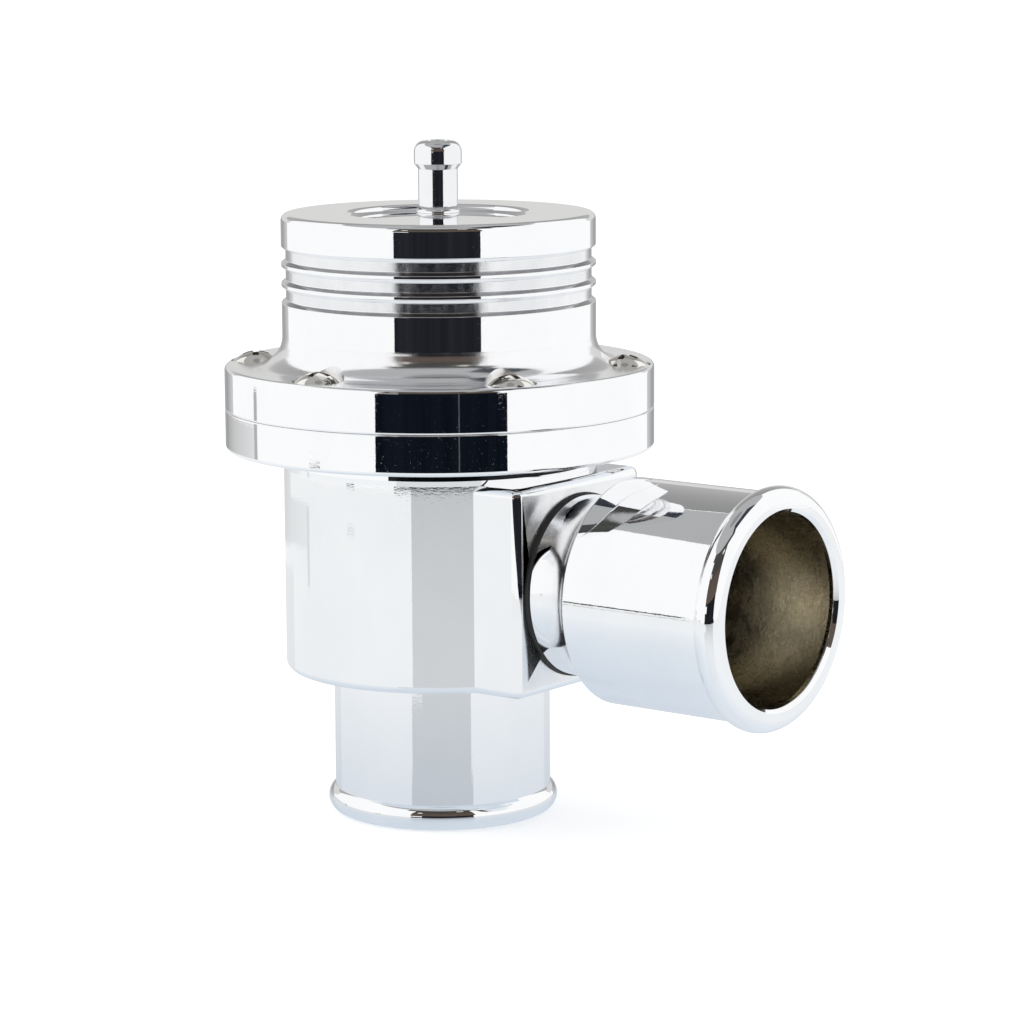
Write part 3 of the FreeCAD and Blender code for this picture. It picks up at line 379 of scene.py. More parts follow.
@dataclass(frozen=True)
class HoleCircle:
    """Angles round a flange with a circle of holes, with a sector about each hole.

    Attributes:
        half_width: Half the angle of a sector, in degrees.
        sector_steps: Steps across a sector.
        gap_steps: Steps between two sectors.
        first: Angle of the first hole, in degrees.
        count: Number of holes.
        radius: Radius of the circle of holes.
    """

    half_width: float
    sector_steps: int
    gap_steps: int
    first: float = 30.0
    count: int = 6
    radius: float = 21.4

    def places(self) -> list[float]:
        """Angles of the holes in degrees."""
        return [self.first + 360.0 / self.count * index for index in range(self.count)]

    def centres(self, level: float = 0.0) -> np.ndarray:
        """Middles of the holes at a height."""
        return ring(self.radius, level, np.radians(self.places()))

    def sectors(self) -> list[np.ndarray]:
        """Angles across each sector, in radians."""
        return [fan(at - self.half_width, at + self.half_width, self.sector_steps)
                for at in self.places()]

    def gaps(self) -> list[np.ndarray]:
        """Angles across each gap after its sector, in radians."""
        pitch = 360.0 / self.count
        return [fan(at + self.half_width, at + pitch - self.half_width, self.gap_steps)
                for at in self.places()]

    def all_round(self) -> np.ndarray:
        """Angles of the whole turn, from the first sector on."""
        parts = [part[:-1] for pair in zip(self.sectors(), self.gaps()) for part in pair]
        return np.append(np.concatenate(parts), parts[0][0] + TURN)

    def drill_flat(self, skin: Skin, inner: float, outer: float, level: float, up: float,
                   hole: float) -> None:
        """Add a level face between two radii with the round holes left open.

        Args:
            skin: The skin to add to.
            inner: Inner radius of the face.
            outer: Outer radius of the face.
            level: Height of the face.
            up: 1 if it faces up, -1 if it faces down.
            hole: Radius of the holes.
        """
        for gap in self.gaps():
            skin.span(ring(inner, level, gap), ring(outer, level, gap), up * UP)
        for centre, sector in zip(self.centres(level), self.sectors()):
            rim = centre + ring(hole, 0.0, full_turn(HOLE_STEPS)[:-1])
            border = np.concatenate([ring(inner, level, sector), ring(outer, level, sector)])
            skin.bridge(rim, border, up * UP, centre)

    def drill_walls(self, skin: Skin, hole: float, low: float, high: float) -> None:
        """Add the round walls of the holes: c + (r cos a, r sin a, z), facing their axes."""
        angles = full_turn(HOLE_STEPS)
        for centre in self.centres():
            skin.span(centre + ring(hole, low, angles), centre + ring(hole, high, angles),
                      -ring(1.0, 0.0, angles))


# ------------------------------------------------------------------------------- pieces


@dataclass
class ValveBody:
    """The body: inlet spigot with its bead, round barrel, square port block and lower flange."""

    inlet_radius: float = 12.5
    bore: float = 10.5
    throat: float = 10.0
    seat: float = 19.5
    chamber: float = 15.0
    chamber_floor: float = 18.9
    ledge: float = 37.8
    barrel: float = 18.0
    underside: float = 17.0
    edge: float = 0.9
    worn: float = 0.085
    worn_at: float = -0.305
    worn_half: float = 0.245
    painted_shade_at: float = -0.236
    painted_shade_half: float = 0.986
    rim_edge: float = 0.15
    bead: float = 1.6
    bead_proud: float = 0.8
    bead_top: float = 2.986
    block_half: float = 11.5
    block_reach: float = 20.0
    block_top: float = 40.5
    flange_underside: float = 42.6
    flange: float = 24.6
    flange_edge: float = 0.5
    seam: float = 47.2
    hole: float = 1.55
    groove: float = 19.25
    groove_inner: float = 17.95
    groove_floor: float = 45.6
    lip: float = 46.4
    mouth: float = 15.5
    port_level: float = 28.5
    port_thread: float = 9.05
    port_seat: float = 10.4
    port_step: float = 19.4
    steps: int = 256
    holes: HoleCircle = HoleCircle(half_width=6.08, sector_steps=12, gap_steps=24)

    def build(self) -> bpy.types.Object:
        """Make the body and let it stand for its CAD node.

        Returns:
            The body.
        """
        skin = Skin("valve_body_skin", ("plated_aluminium", "bare_bore", "port_face", "crease_painted_shade"))
        self.inlet(skin)
        self.barrel_and_block(skin)
        self.flange_walls(skin)
        self.port(skin)
        self.chamber_wall(skin)
        return finished(skin, "valve_body", "housing")

    def inlet(self, skin: Skin) -> None:
        """Add the inlet spigot: bead, wall, rim and bore, up to the chamber's floor."""
        angles, rim = full_turn(self.steps), self.rim_edge
        outside = HalfOutline((self.bore, rim)).bend(self.bore + rim, 0.0, rim, Side.LEFT)
        outside.to(self.inlet_radius + self.bead_proud - self.bead, 0.0)
        outside.bend(self.inlet_radius + self.bead_proud, self.bead, self.bead, Side.LEFT, 14)
        outside.bend(self.inlet_radius, self.bead_top, self.bead, Side.LEFT, 12)
        outside.to(self.inlet_radius, self.underside)
        land = self.throat + 1.7
        inside = HalfOutline((self.chamber, self.chamber_floor)).to(land, self.chamber_floor)
        inside.through((land, self.seat, 0.2), (self.throat, self.seat, 0.2),
                       (self.throat, self.underside, 0), (self.bore, self.underside - 0.5, 0),
                       (self.bore, rim, 0))
        skin.turn(outside, angles)
        skin.use("bare_bore")
        skin.turn(inside, angles)
        skin.use("plated_aluminium")

    def barrel_and_block(self, skin: Skin) -> None:
        """Add the barrel and the block on it, as one outline that changes with height.

        Formula: with a core 0.9 mm smaller than the body, the outline at height z is the core's
        outline moved out by r(z) = 0.9 cos t, where t goes from 90 degrees at the underside to 0
        at 0.9 mm above it, and back at the block's top. The barrel's arc ends where
        sin p = half / radius, and the block's corners are arcs of radius r(z). Polishing has worn
        the corners: their normals lean up at the top by the slope "worn", and turn from the side
        to the front by 12 s degrees at the bottom and 17 + 42 s degrees at the top, where s is
        the share of the corner as it is seen from between the two faces.
        """
        count = 9
        lower = np.arange(2 * count) < count
        tilt = np.concatenate([fan(90, 0, count - 1), fan(0, 90, count - 1)])
        out, lean = np.cos(tilt), np.where(lower, -1, 1) * np.sin(tilt)
        grow = self.edge * out
        level = np.where(lower, self.underside + self.edge, self.block_top - self.edge)
        height = level + self.edge * lean
        core_half, core_reach = self.block_half - self.edge, self.block_reach - self.edge
        half, reach = core_half + grow, core_reach + grow
        radius = self.barrel - self.edge + np.where(lower, grow, self.edge)
        meet = np.arcsin(half / radius)[:, None]

        grid = self.holes.all_round()
        opening = np.arcsin(core_half / self.barrel)
        back = grid[(grid > opening - 0.01) & (grid < TURN - opening + 0.01)]
        back = np.interp(back, [back[0], back[-1]], [0.0, 1.0])
        angles = meet + (TURN - 2 * meet) * back
        flat = np.where(lower, lean, 0.0)[:, None]
        skin.add(ring(radius[:, None], height[:, None], angles),
                 ring(np.sqrt(1 - flat**2), flat, angles))

        self.block_sides(skin, radius * np.cos(meet[:, 0]), half, height, out, lean, grow)
        sectors, gaps = self.holes.sectors(), self.holes.gaps()
        front = np.concatenate([sectors[-1] - TURN, gaps[-1][1:] - TURN, sectors[0][1:]])
        across = self.barrel * np.sin(front)
        for rows in (lower, ~lower):
            skin.add(columns(reach[rows, None], across, height[rows, None]),
                     columns(out, 0.0, lean)[rows, None])
        skin.span(ring(self.barrel, self.block_top, front),
                  columns(core_reach, across, self.block_top), UP)
        outline = np.concatenate([
            ring(radius[0], self.underside, angles[0]),
            columns(core_reach, across * half[0] / across[-1], self.underside)])
        inlet = ring(self.inlet_radius, self.underside, full_turn(self.steps)[:-1])
        skin.bridge(outline, inlet, -UP)
        face = np.concatenate([columns(self.block_reach, across, z)
                               for z in (self.underside + self.edge, self.block_top - self.edge)])
        skin.use("port_face")
        skin.bridge(face, self.port_circle(self.port_seat, self.block_reach), TO_OUTLET,
                    np.array([self.block_reach, 0.0, self.port_level]))
        skin.use("plated_aluminium")

    def block_sides(self, skin: Skin, start: np.ndarray, half: np.ndarray, height: np.ndarray,
                    out: np.ndarray, lean: np.ndarray, grow: np.ndarray) -> None:
        """Add both sides of the block with its worn corners.

        Args:
            skin: The skin to add to.
            start: Where the sides leave the barrel, at each row of heights.
            half: Half the block's width there.
            height: The heights.
            out: The normals' level part.
            lean: Their upward part.
            grow: Radius of the corners.
        """
        core_half, core_reach = self.block_half - self.edge, self.block_reach - self.edge
        seen_width, seen_end, seen_scale, seen_from = 1.4, 0.61, 0.998, np.radians(37.68)
        share = np.array([1.0, 0.96, 0.9, 0.8, 0.65, 0.5, 0.35, 0.2, 0.1, 0.0])
        seen = (seen_width * share - seen_end) / seen_scale
        corner = np.arccos(np.clip(seen, -1, 1)) - seen_from
        corner[0], corner[-1] = 0.0, np.pi / 2
        last, first = len(out) // 2 - 1, len(out) // 2
        coarse = np.arange(len(out))
        rows = np.concatenate([coarse[:first], np.linspace(last, first, 14)[1:-1], coarse[first:]])
        grow, level, flat, up = (np.interp(rows, coarse, part)[:, None]
                                 for part in (grow, height, out, lean))
        rows = rows[:, None]
        rise = np.clip(rows - last, 0, 1)
        facing = np.radians(np.where(share > 0.95, 90 * (share > 0.99) + 66 * (share < 0.99),
                                     12 * share + rise**1.5 * (17 + 30 * share)))
        up = up + self.worn * rise * (rows <= first)
        for sign in (1, -1):
            skin.add(columns(columns(start, core_reach), sign * half[:, None], height[:, None]),
                     columns(0.0, sign * out, lean)[:, None])
            skin.add(columns(core_reach + grow * np.cos(corner),
                             sign * (core_half + grow * np.sin(corner)), level),
                     columns(flat * np.sin(facing), sign * flat * np.cos(facing), up))

    def flange_walls(self, skin: Skin) -> None:
        """Add the neck, the lower flange, its holes, the rim bead's groove and the mouth.

        The neck's colour is painted near-black over the block's side, as painted shade where
        little light gets in under the flange. The flange's wall is worn near the outlet: there
        its normals lean up by the slope worn (1 - (d / half)^2), which falls to 0.3 of that at
        the top.
        """
        angles, edge, rim = self.holes.all_round(), self.flange_edge, self.rim_edge
        neck = HalfOutline((self.barrel, self.block_top))
        neck.to(self.barrel, self.block_top + 0.6).lean(-0.06, -0.06)
        neck.to(self.barrel, self.flange_underside - edge).lean(0.06, 0.06)
        neck.bend(self.barrel + edge, self.flange_underside, edge, Side.RIGHT, 8)
        middle = (angles[:-1] + angles[1:]) / 2
        # Painted shade: the neck over the block's side gets a near-black finish under the flange.
        shaded = np.abs(apart(middle, self.painted_shade_at)) < self.painted_shade_half
        kinds = np.where(shaded, skin.finishes.index("crease_painted_shade"), 0)
        for index, (points, normals) in enumerate(neck.turned(angles)):
            skin.add(points, normals)
            if index > 0:
                skin.kinds[-1] = np.tile(kinds, len(points) - 1)
        rows = 6
        wall = HalfOutline((self.flange - edge, self.flange_underside))
        wall.bend(self.flange, self.flange_underside + edge, edge, Side.LEFT, 8)
        wall.to(self.flange, self.seam - rim, rows)
        wall.bend(self.flange - rim, self.seam, rim, Side.LEFT, 6)
        wall.to(self.flange - 2 * rim, self.seam)
        near_outlet = np.clip(1 - (apart(angles, self.worn_at) / self.worn_half) ** 2, 0, 1)
        slope = self.worn * np.linspace(1.0, 0.3, rows + 1)[:, None] * near_outlet
        for index, (points, normals) in enumerate(wall.turned(angles)):
            if index == 1:
                normals[..., 2] += slope
            skin.add(points, normals)
        self.holes.drill_flat(skin, self.barrel + edge, self.flange - edge, self.flange_underside,
                              -1.0, self.hole)
        self.holes.drill_flat(skin, self.groove, self.flange - 2 * rim, self.seam, 1.0, self.hole)
        self.holes.drill_walls(skin, self.hole, self.flange_underside, self.seam)
        mouth = HalfOutline((self.groove, self.seam))
        for corner in ((self.groove, self.groove_floor), (self.groove_inner, self.groove_floor),
                       (self.groove_inner, self.lip), (self.mouth + 1.5, self.lip),
                       (self.mouth, self.lip - 2.4), (self.mouth, self.ledge),
                       (self.chamber, self.ledge)):
            mouth.to(*corner)
        skin.use("bare_bore")
        skin.turn(mouth, angles)
        skin.use("plated_aluminium")

    def port_circle(self, radius: float, x: float) -> np.ndarray:
        """A circle about the outlet's axis: (x, r sin a, level + r cos a)."""
        angles = full_turn(192)
        return columns(x, radius * np.sin(angles), self.port_level + radius * np.cos(angles))

    def port(self, skin: Skin) -> None:
        """Add the seat of the outlet's seal: a step round the threaded bore."""
        centre = np.array([self.port_step, 0.0, self.port_level])
        wide = self.port_circle(self.port_seat, self.block_reach)
        low = self.port_circle(self.port_seat, self.port_step)
        skin.span(low, wide, (centre - low) / self.port_seat)
        skin.use("bare_bore")
        skin.bridge(low, self.port_circle(self.port_thread, self.port_step), TO_OUTLET, centre)

    def chamber_wall(self, skin: Skin) -> None:
        """Add the chamber's wall with the threaded bore through it.

        Formula: the wall is (R cos a, R sin a, z). The bore ends on it where y = r sin b,
        z = level + r cos b and a = arcsin(y / R). The patch about that curve is
        (1 - s) curve + s border in the plane of a and z.
        """
        wide = np.radians(42.0)
        rise = np.linspace(self.chamber_floor, self.ledge, 25)
        border = border_of(np.linspace(-wide, wide, 49), rise)
        angle = np.arctan2(self.chamber * border[:, 0], border[:, 1] - self.port_level)
        across = self.port_thread * np.sin(angle)
        up = self.port_level + self.port_thread * np.cos(angle)
        curve = columns(np.arcsin(across / self.chamber), up)
        share = np.linspace(0, 1, 7)[:, None, None]
        turn, level = np.moveaxis((1 - share) * curve + share * border, -1, 0)
        skin.add(ring(self.chamber, level, turn), -ring(1.0, 0.0, turn))
        rest = np.linspace(wide, TURN - wide, 161)
        skin.add(ring(self.chamber, rise[:, None], rest), -ring(1.0, 0.0, rest))
        skin.span(columns(np.sqrt(self.chamber**2 - across**2), across, up),
                  columns(self.port_step, across, up), columns(0.0, -np.sin(angle), -np.cos(angle)))


@dataclass
class Outlet:
    """The outlet spigot that is screwed into the block, and the black ring under its neck."""

    level: float = 28.5
    bore: float = 10.7
    barrel: float = 12.7
    neck: float = 10.2
    thread: float = 9.0
    throat: float = 7.5
    mouth: float = 47.3
    shoulder: float = 26.8
    collar: float = 20.6
    steps: int = 288

    def build(self) -> list[bpy.types.Object]:
        """Make the spigot and its seal.

        Returns:
            The two pieces.
        """
        skin = Skin("outlet_spigot_skin", ("plated_aluminium", "outlet_bore", "plated_satin"))
        mouth = self.mouth
        inside = HalfOutline((15.0, self.throat)).to(29.0, self.throat)
        inside.through((32.2, self.bore, 0.5), (mouth - 1.0, self.bore, 0))
        tube = HalfOutline((mouth - 1.0, self.bore))
        tube.through((mouth - 0.45, self.bore, 0.25), (mouth, self.bore + 0.45, 0.12),
                     (mouth, 11.9, 0))
        tube.bend(mouth - 1.6, self.barrel + 0.8, 1.6, Side.LEFT, 14)
        tube.bend(mouth - 2.986, self.barrel, 1.6, Side.LEFT, 12)
        tube.to(self.shoulder + 0.3, self.barrel)
        tube.bend(self.shoulder, self.barrel - 0.3, 0.3, Side.LEFT, 6)
        cove = HalfOutline(tube.at).bend(self.shoulder - 4.5, self.neck, 5.7, Side.RIGHT, 18)
        root = HalfOutline(cove.at)
        root.through((self.collar, self.neck, 0.1), (self.collar, self.thread, 0),
                     (15.5, self.thread, 0), (15.0, self.thread - 0.5, 0), (15.0, self.throat, 0))
        for finish, outline in (("outlet_bore", inside), ("plated_aluminium", tube),
                                ("plated_satin", cove), ("plated_aluminium", root)):
            skin.use(finish)
            skin.turn(outline, full_turn(self.steps), Axis.OUTLET, self.level)
        spigot = finished(skin, "outlet_spigot", "housing")
        skin = Skin("outlet_seal_skin", ("seal_rubber",))
        seat = 19.4
        seal = HalfOutline((seat, 9.35))
        seal.through((self.collar, 9.35, 0.15), (self.collar, 10.35, 0.3), (seat, 10.35, 0.3),
                     (seat, 9.35, 0))
        skin.turn(seal, full_turn(192), Axis.OUTLET, self.level)
        return [spigot, finished(skin, "outlet_seal", "housing")]


@dataclass
class Cap:
    """The cap: flange with screw pockets, grooved wall, recessed top and inner chamber."""

    radius: float = 17.95
    flange: float = 24.6
    seam: float = 47.2
    flange_top: float = 52.2
    fillet: float = 3.2
    top: float = 69.4
    recess: float = 9.73
    recess_floor: float = 68.7
    ceiling: float = 66.2
    pocket: float = 2.9
    pocket_floor: float = 50.8
    screw_hole: float = 1.6
    edge: float = 0.5
    patch: tuple[float, float] = (18.3, 24.46)
    nipple: float = 2.27
    nipple_foot: float = 63.7
    groove_depth: float = 0.5
    groove_half: float = 0.95
    floor_half: float = 0.54
    flank_lean: float = 0.6
    grooves: tuple[float, ...] = (60.25, 62.5, 64.75)
    holes: HoleCircle = HoleCircle(half_width=8.7, sector_steps=16, gap_steps=36)

    def build(self) -> bpy.types.Object:
        """Make the cap and let it stand for its CAD node.

        Returns:
            The cap.
        """
        skin = Skin("cap_skin", ("plated_aluminium", "plated_groove", "bare_bore", "plated_satin",
                                 "groove_shade", "port_face"))
        angles, rim = self.holes.all_round(), self.flange - 0.3
        self.wall(skin, angles)
        self.flange_surface(skin)
        lower = HalfOutline((rim, self.seam)).to(self.flange - 0.25, self.seam)
        lower.bend(self.flange, self.seam + 0.25, 0.25, Side.LEFT, 8)
        lower.to(self.flange, self.flange_top - self.edge)
        skin.turn(lower, angles)
        inside = HalfOutline((self.nipple, self.recess_floor)).to(self.nipple, self.nipple_foot)
        inside.to(6.4, self.nipple_foot).to(6.4, self.ceiling)
        inside.through((15.0, self.ceiling, 1.0), (15.0, 50.2, 0), (17.0, self.seam, 0))
        skin.use("bare_bore")
        skin.turn(inside, angles)
        skin.use("plated_aluminium")
        self.holes.drill_flat(skin, 17.0, rim, self.seam, -1.0, self.screw_hole)
        self.holes.drill_walls(skin, self.screw_hole, self.seam, self.pocket_floor)
        return finished(skin, "cap", "housing")

    def wall(self, skin: Skin, angles: np.ndarray) -> None:
        """Add the wall above the fillet with its three grooves, the top edge and the recess."""
        wall = HalfOutline((self.radius, self.flange_top + self.fillet))
        inner = self.radius - self.groove_depth
        corners = []
        for centre in self.grooves:
            corners += [(self.radius, centre - self.groove_half, 0.12),
                        (inner, centre - self.floor_half, 0.1),
                        (inner, centre + self.floor_half, 0.1),
                        (self.radius, centre + self.groove_half, 0.12)]
        wall.through(*corners, (self.radius, self.top - 0.8, 0))
        wall.bend(self.radius - 0.8, self.top, 0.8, Side.LEFT, 10)
        middle = (self.recess + 0.6, (self.top + self.recess_floor) / 2)
        wall.to(self.recess + 1.2, self.top).bend(*middle, 0.689, Side.LEFT, 10)
        wall.bend(self.recess, self.recess_floor, 0.689, Side.RIGHT, 10)
        wall.to(self.nipple, self.recess_floor)
        for index, (points, normals) in enumerate(wall.runs):
            if normals[0, 1] < -0.5 and len(points) == 2:
                wall.runs[index] = (points, normals + np.array([0.0, self.flank_lean]))
        # Groove floors and down-facing flanks get a rougher chrome that is also darker as painted
        # shade; up-facing flanks get a darker copy still, which is painted shade.
        for (points, _), (grid, normals) in zip(wall.runs, wall.turned(angles)):
            flank = len(points) == 2 and inner + 0.1 < points[:, 0].mean() < self.radius - 0.1
            if flank and points[1, 0] < points[0, 0]:
                skin.use("groove_shade")
            elif flank or np.allclose(points[:, 0], inner):
                skin.use("plated_groove")
            else:
                skin.use("plated_aluminium")
            skin.add(grid, normals)
        skin.use("plated_aluminium")

    def surface(self, radius: np.ndarray) -> tuple[np.ndarray, np.ndarray, np.ndarray]:
        """Height and normal of the flange's top.

        Formula: in the fillet, with e = R + f - r, z = top + f - sqrt(f^2 - e^2) and the normal is
        (e, sqrt(f^2 - e^2)) / f. At the edge of radius g, with e = r - (flange - g),
        z = top - g + sqrt(g^2 - e^2) and the normal is (e, sqrt(g^2 - e^2)) / g.

        Args:
            radius: Distances from the valve's axis.

        Returns:
            Heights, and the normals' outward and upward parts.
        """
        inner = np.clip(self.radius + self.fillet - radius, 0, self.fillet)
        outer = np.clip(radius - self.flange + self.edge, 0, self.edge)
        fall = np.sqrt(self.fillet**2 - inner**2)
        drop = np.sqrt(self.edge**2 - outer**2)
        height = self.flange_top + self.fillet - fall - self.edge + drop
        out = inner / self.fillet + outer / self.edge
        return height, out, np.where(outer > 0, drop / self.edge, fall / self.fillet)

    def flange_surface(self, skin: Skin) -> None:
        """Add the flange's top and edge, with the six pockets cut into its fillet and its edge.

        Formula: about each pocket, a point is (1 - s) rim + s border in plan, where the rim is
        the pocket's circle at the angle of the border's point. Its height is surface(r).
        """
        low, high = self.patch
        fillet_end, edge_start = self.radius + self.fillet, self.flange - self.edge
        first = np.arcsin((fillet_end - low) / self.fillet)
        last = np.arcsin((high - self.flange + self.edge) / self.edge)
        radii = np.concatenate([
            fillet_end - self.fillet * np.sin(np.linspace(first, 0, 17)),
            np.linspace(fillet_end, edge_start, 13)[1:-1],
            edge_start + self.edge * np.sin(np.linspace(0, last, 7))])
        inner = fillet_end - self.fillet * np.sin(fan(90, np.degrees(first), 8))
        outer = edge_start + self.edge * np.sin(fan(np.degrees(last), 90, 6))
        skin.use("plated_satin")
        self.lay(skin, ring(inner[:, None], 0.0, self.holes.all_round()))
        for gap in self.holes.gaps():
            self.lay(skin, ring(radii[:, None], 0.0, gap))
        skin.use("plated_aluminium")
        self.lay(skin, ring(outer[:, None], 0.0, self.holes.all_round()))
        for centre, sector in zip(self.holes.centres(), self.holes.sectors()):
            border = border_of(radii, sector)
            border = ring(border[:, 0], 0.0, border[:, 1])
            angle = np.arctan2(*(border - centre)[:, 1::-1].T)
            rim = centre + ring(self.pocket, 0.0, angle)
            share = (np.linspace(0, 1, 11) ** 1.3)[:, None, None]
            skin.use("plated_satin")
            self.lay(skin, (1 - share) * rim + share * border)
            brink = rim + self.surface(np.hypot(rim[:, 0], rim[:, 1]))[0][:, None] * UP
            foot, middle = rim + self.pocket_floor * UP, centre + self.pocket_floor * UP
            skin.use("port_face")
            skin.span(brink, foot, -ring(1.0, 0.0, angle))
            hole = middle + ring(self.screw_hole, 0.0, full_turn(HOLE_STEPS)[:-1])
            skin.bridge(foot, hole, UP, middle)
        skin.use("plated_aluminium")

    def lay(self, skin: Skin, plan: np.ndarray) -> None:
        """Add the flange's top over points given in plan."""
        x, y = plan[..., 0], plan[..., 1]
        radius = np.hypot(x, y)
        height, out, up = self.surface(radius)
        skin.add(columns(x, y, height), columns(out * x / radius, out * y / radius, up))


@dataclass
class VacuumNipple:
    """The hose nipple pressed into the cap: shank, small collar, and a bulb that holds the hose."""

    bore: float = 1.1
    shank: float = 2.25
    bulb: float = 2.72
    foot: float = 63.7
    floor: float = 68.7
    top: float = 77.5

    def build(self) -> bpy.types.Object:
        """Make the nipple and let it stand for its CAD node.

        Returns:
            The nipple.
        """
        skin = Skin("vacuum_nipple_skin", ("plated_nipple",))
        outline = HalfOutline((self.bore, self.foot))
        outline.through((self.shank - 0.25, self.foot, 0), (self.shank, self.foot + 0.25, 0),
                        (self.shank, self.floor + 0.23, 0))
        outline.bend(self.shank, self.floor + 1.10, 0.485, Side.LEFT, 12)
        outline.through((self.shank, self.floor + 5.6, 0.15), (self.bulb, self.floor + 6.2, 0.12),
                        (self.bulb, self.top - 1.2, 0))
        outline.bend(self.bulb - 1.2, self.top, 1.2, Side.LEFT, 14)
        outline.through((self.bore + 0.25, self.top, 0.05), (self.bore, self.top - 0.25, 0),
                        (self.bore, self.foot, 0))
        skin.turn(outline, full_turn(144))
        return finished(skin, "vacuum_nipple", "housing")


@dataclass
class FlangeScrews:
    """The six pan head screws with a cross recess."""

    head: float = 2.8
    side: float = 1.05
    height: float = 2.45
    shank: float = 1.5
    length: float = 8.0
    seat: float = 50.8
    arm: float = 1.5
    arm_half: float = 0.35
    depth: float = 1.3
    dome: float = 3.5
    brim: float = 0.12
    turns: tuple[float, ...] = (12.0, -31.0, 24.0, 40.0, 5.0, -18.0)
    holes: HoleCircle = HoleCircle(half_width=1.0, sector_steps=1, gap_steps=1)

    def build(self) -> bpy.types.Object:
        """Make one screw and put it in the six pockets, each turned a different way.

        Formula: the head's dome is (r cos a, r sin a, c + sqrt(R^2 - r^2)). The cross recess is
        the smaller of arm / cos f and arm_half / sin f from the axis, where f is the angle from
        the nearest arm. It narrows to 0.78 of that at its floor.

        Returns:
            The screws.
        """
        skin = Skin("flange_screws_skin", ("screw_steel", "screw_recess"))
        centre = self.height - self.dome
        fold = np.array([0, 4, 8, 11, 13.134, 16, 20, 26, 34, 45])
        quarter = np.concatenate([fold, 90 - fold[-2::-1]])[:-1]
        angle = np.radians(np.append(np.add.outer((0, 90, 180, 270), quarter), 360.0))
        folded = np.radians(45 - np.abs(np.degrees(angle) % 90 - 45))
        flank = self.arm_half / np.maximum(np.sin(folded), 1e-6)
        rim = np.minimum(self.arm / np.cos(folded), flank)
        share, brim = np.linspace(0, 1, 9)[:, None], self.head - self.brim
        spread = (1 - share) * rim + share * brim
        rise = np.sqrt(self.dome**2 - spread**2)
        skin.add(ring(spread, centre + rise, angle), ring(spread, rise, angle) / self.dome)
        brink = ring(rim, centre + rise[0], angle)
        narrow, deep = 0.78, self.height - self.depth
        floor = ring(narrow * rim, deep, angle)
        # The cross recess gets a darker copy of the nickel: painted shade.
        skin.use("screw_recess")
        skin.add_flats(np.stack([brink, floor]), ORIGIN, hollow=True)
        skin.add_flats(np.stack([floor, 0 * floor + (deep - 0.15) * UP]), -5.0 * UP)
        skin.use("screw_steel")
        edge_height = centre + np.sqrt(self.dome**2 - brim**2)
        rest = HalfOutline((0.0, -self.length))
        rest.through((self.shank - 0.3, -self.length, 0), (self.shank, -self.length + 0.3, 0),
                     (self.shank, 0.0, 0), (self.head, 0.0, 0.08), (self.head, self.side - 0.05, 0))
        rest.bend(brim, edge_height, 0.14, Side.LEFT, 4)
        skin.turn(rest, angle)
        skin.place([Matrix.Translation(spot.tolist()) @ Matrix.Rotation(np.radians(turn), 4, "Z")
                    for spot, turn in zip(self.holes.centres(self.seat), self.turns)])
        return finished(skin, "flange_screws", "housing")


# ----------------------------------------------------------------------------- finishes


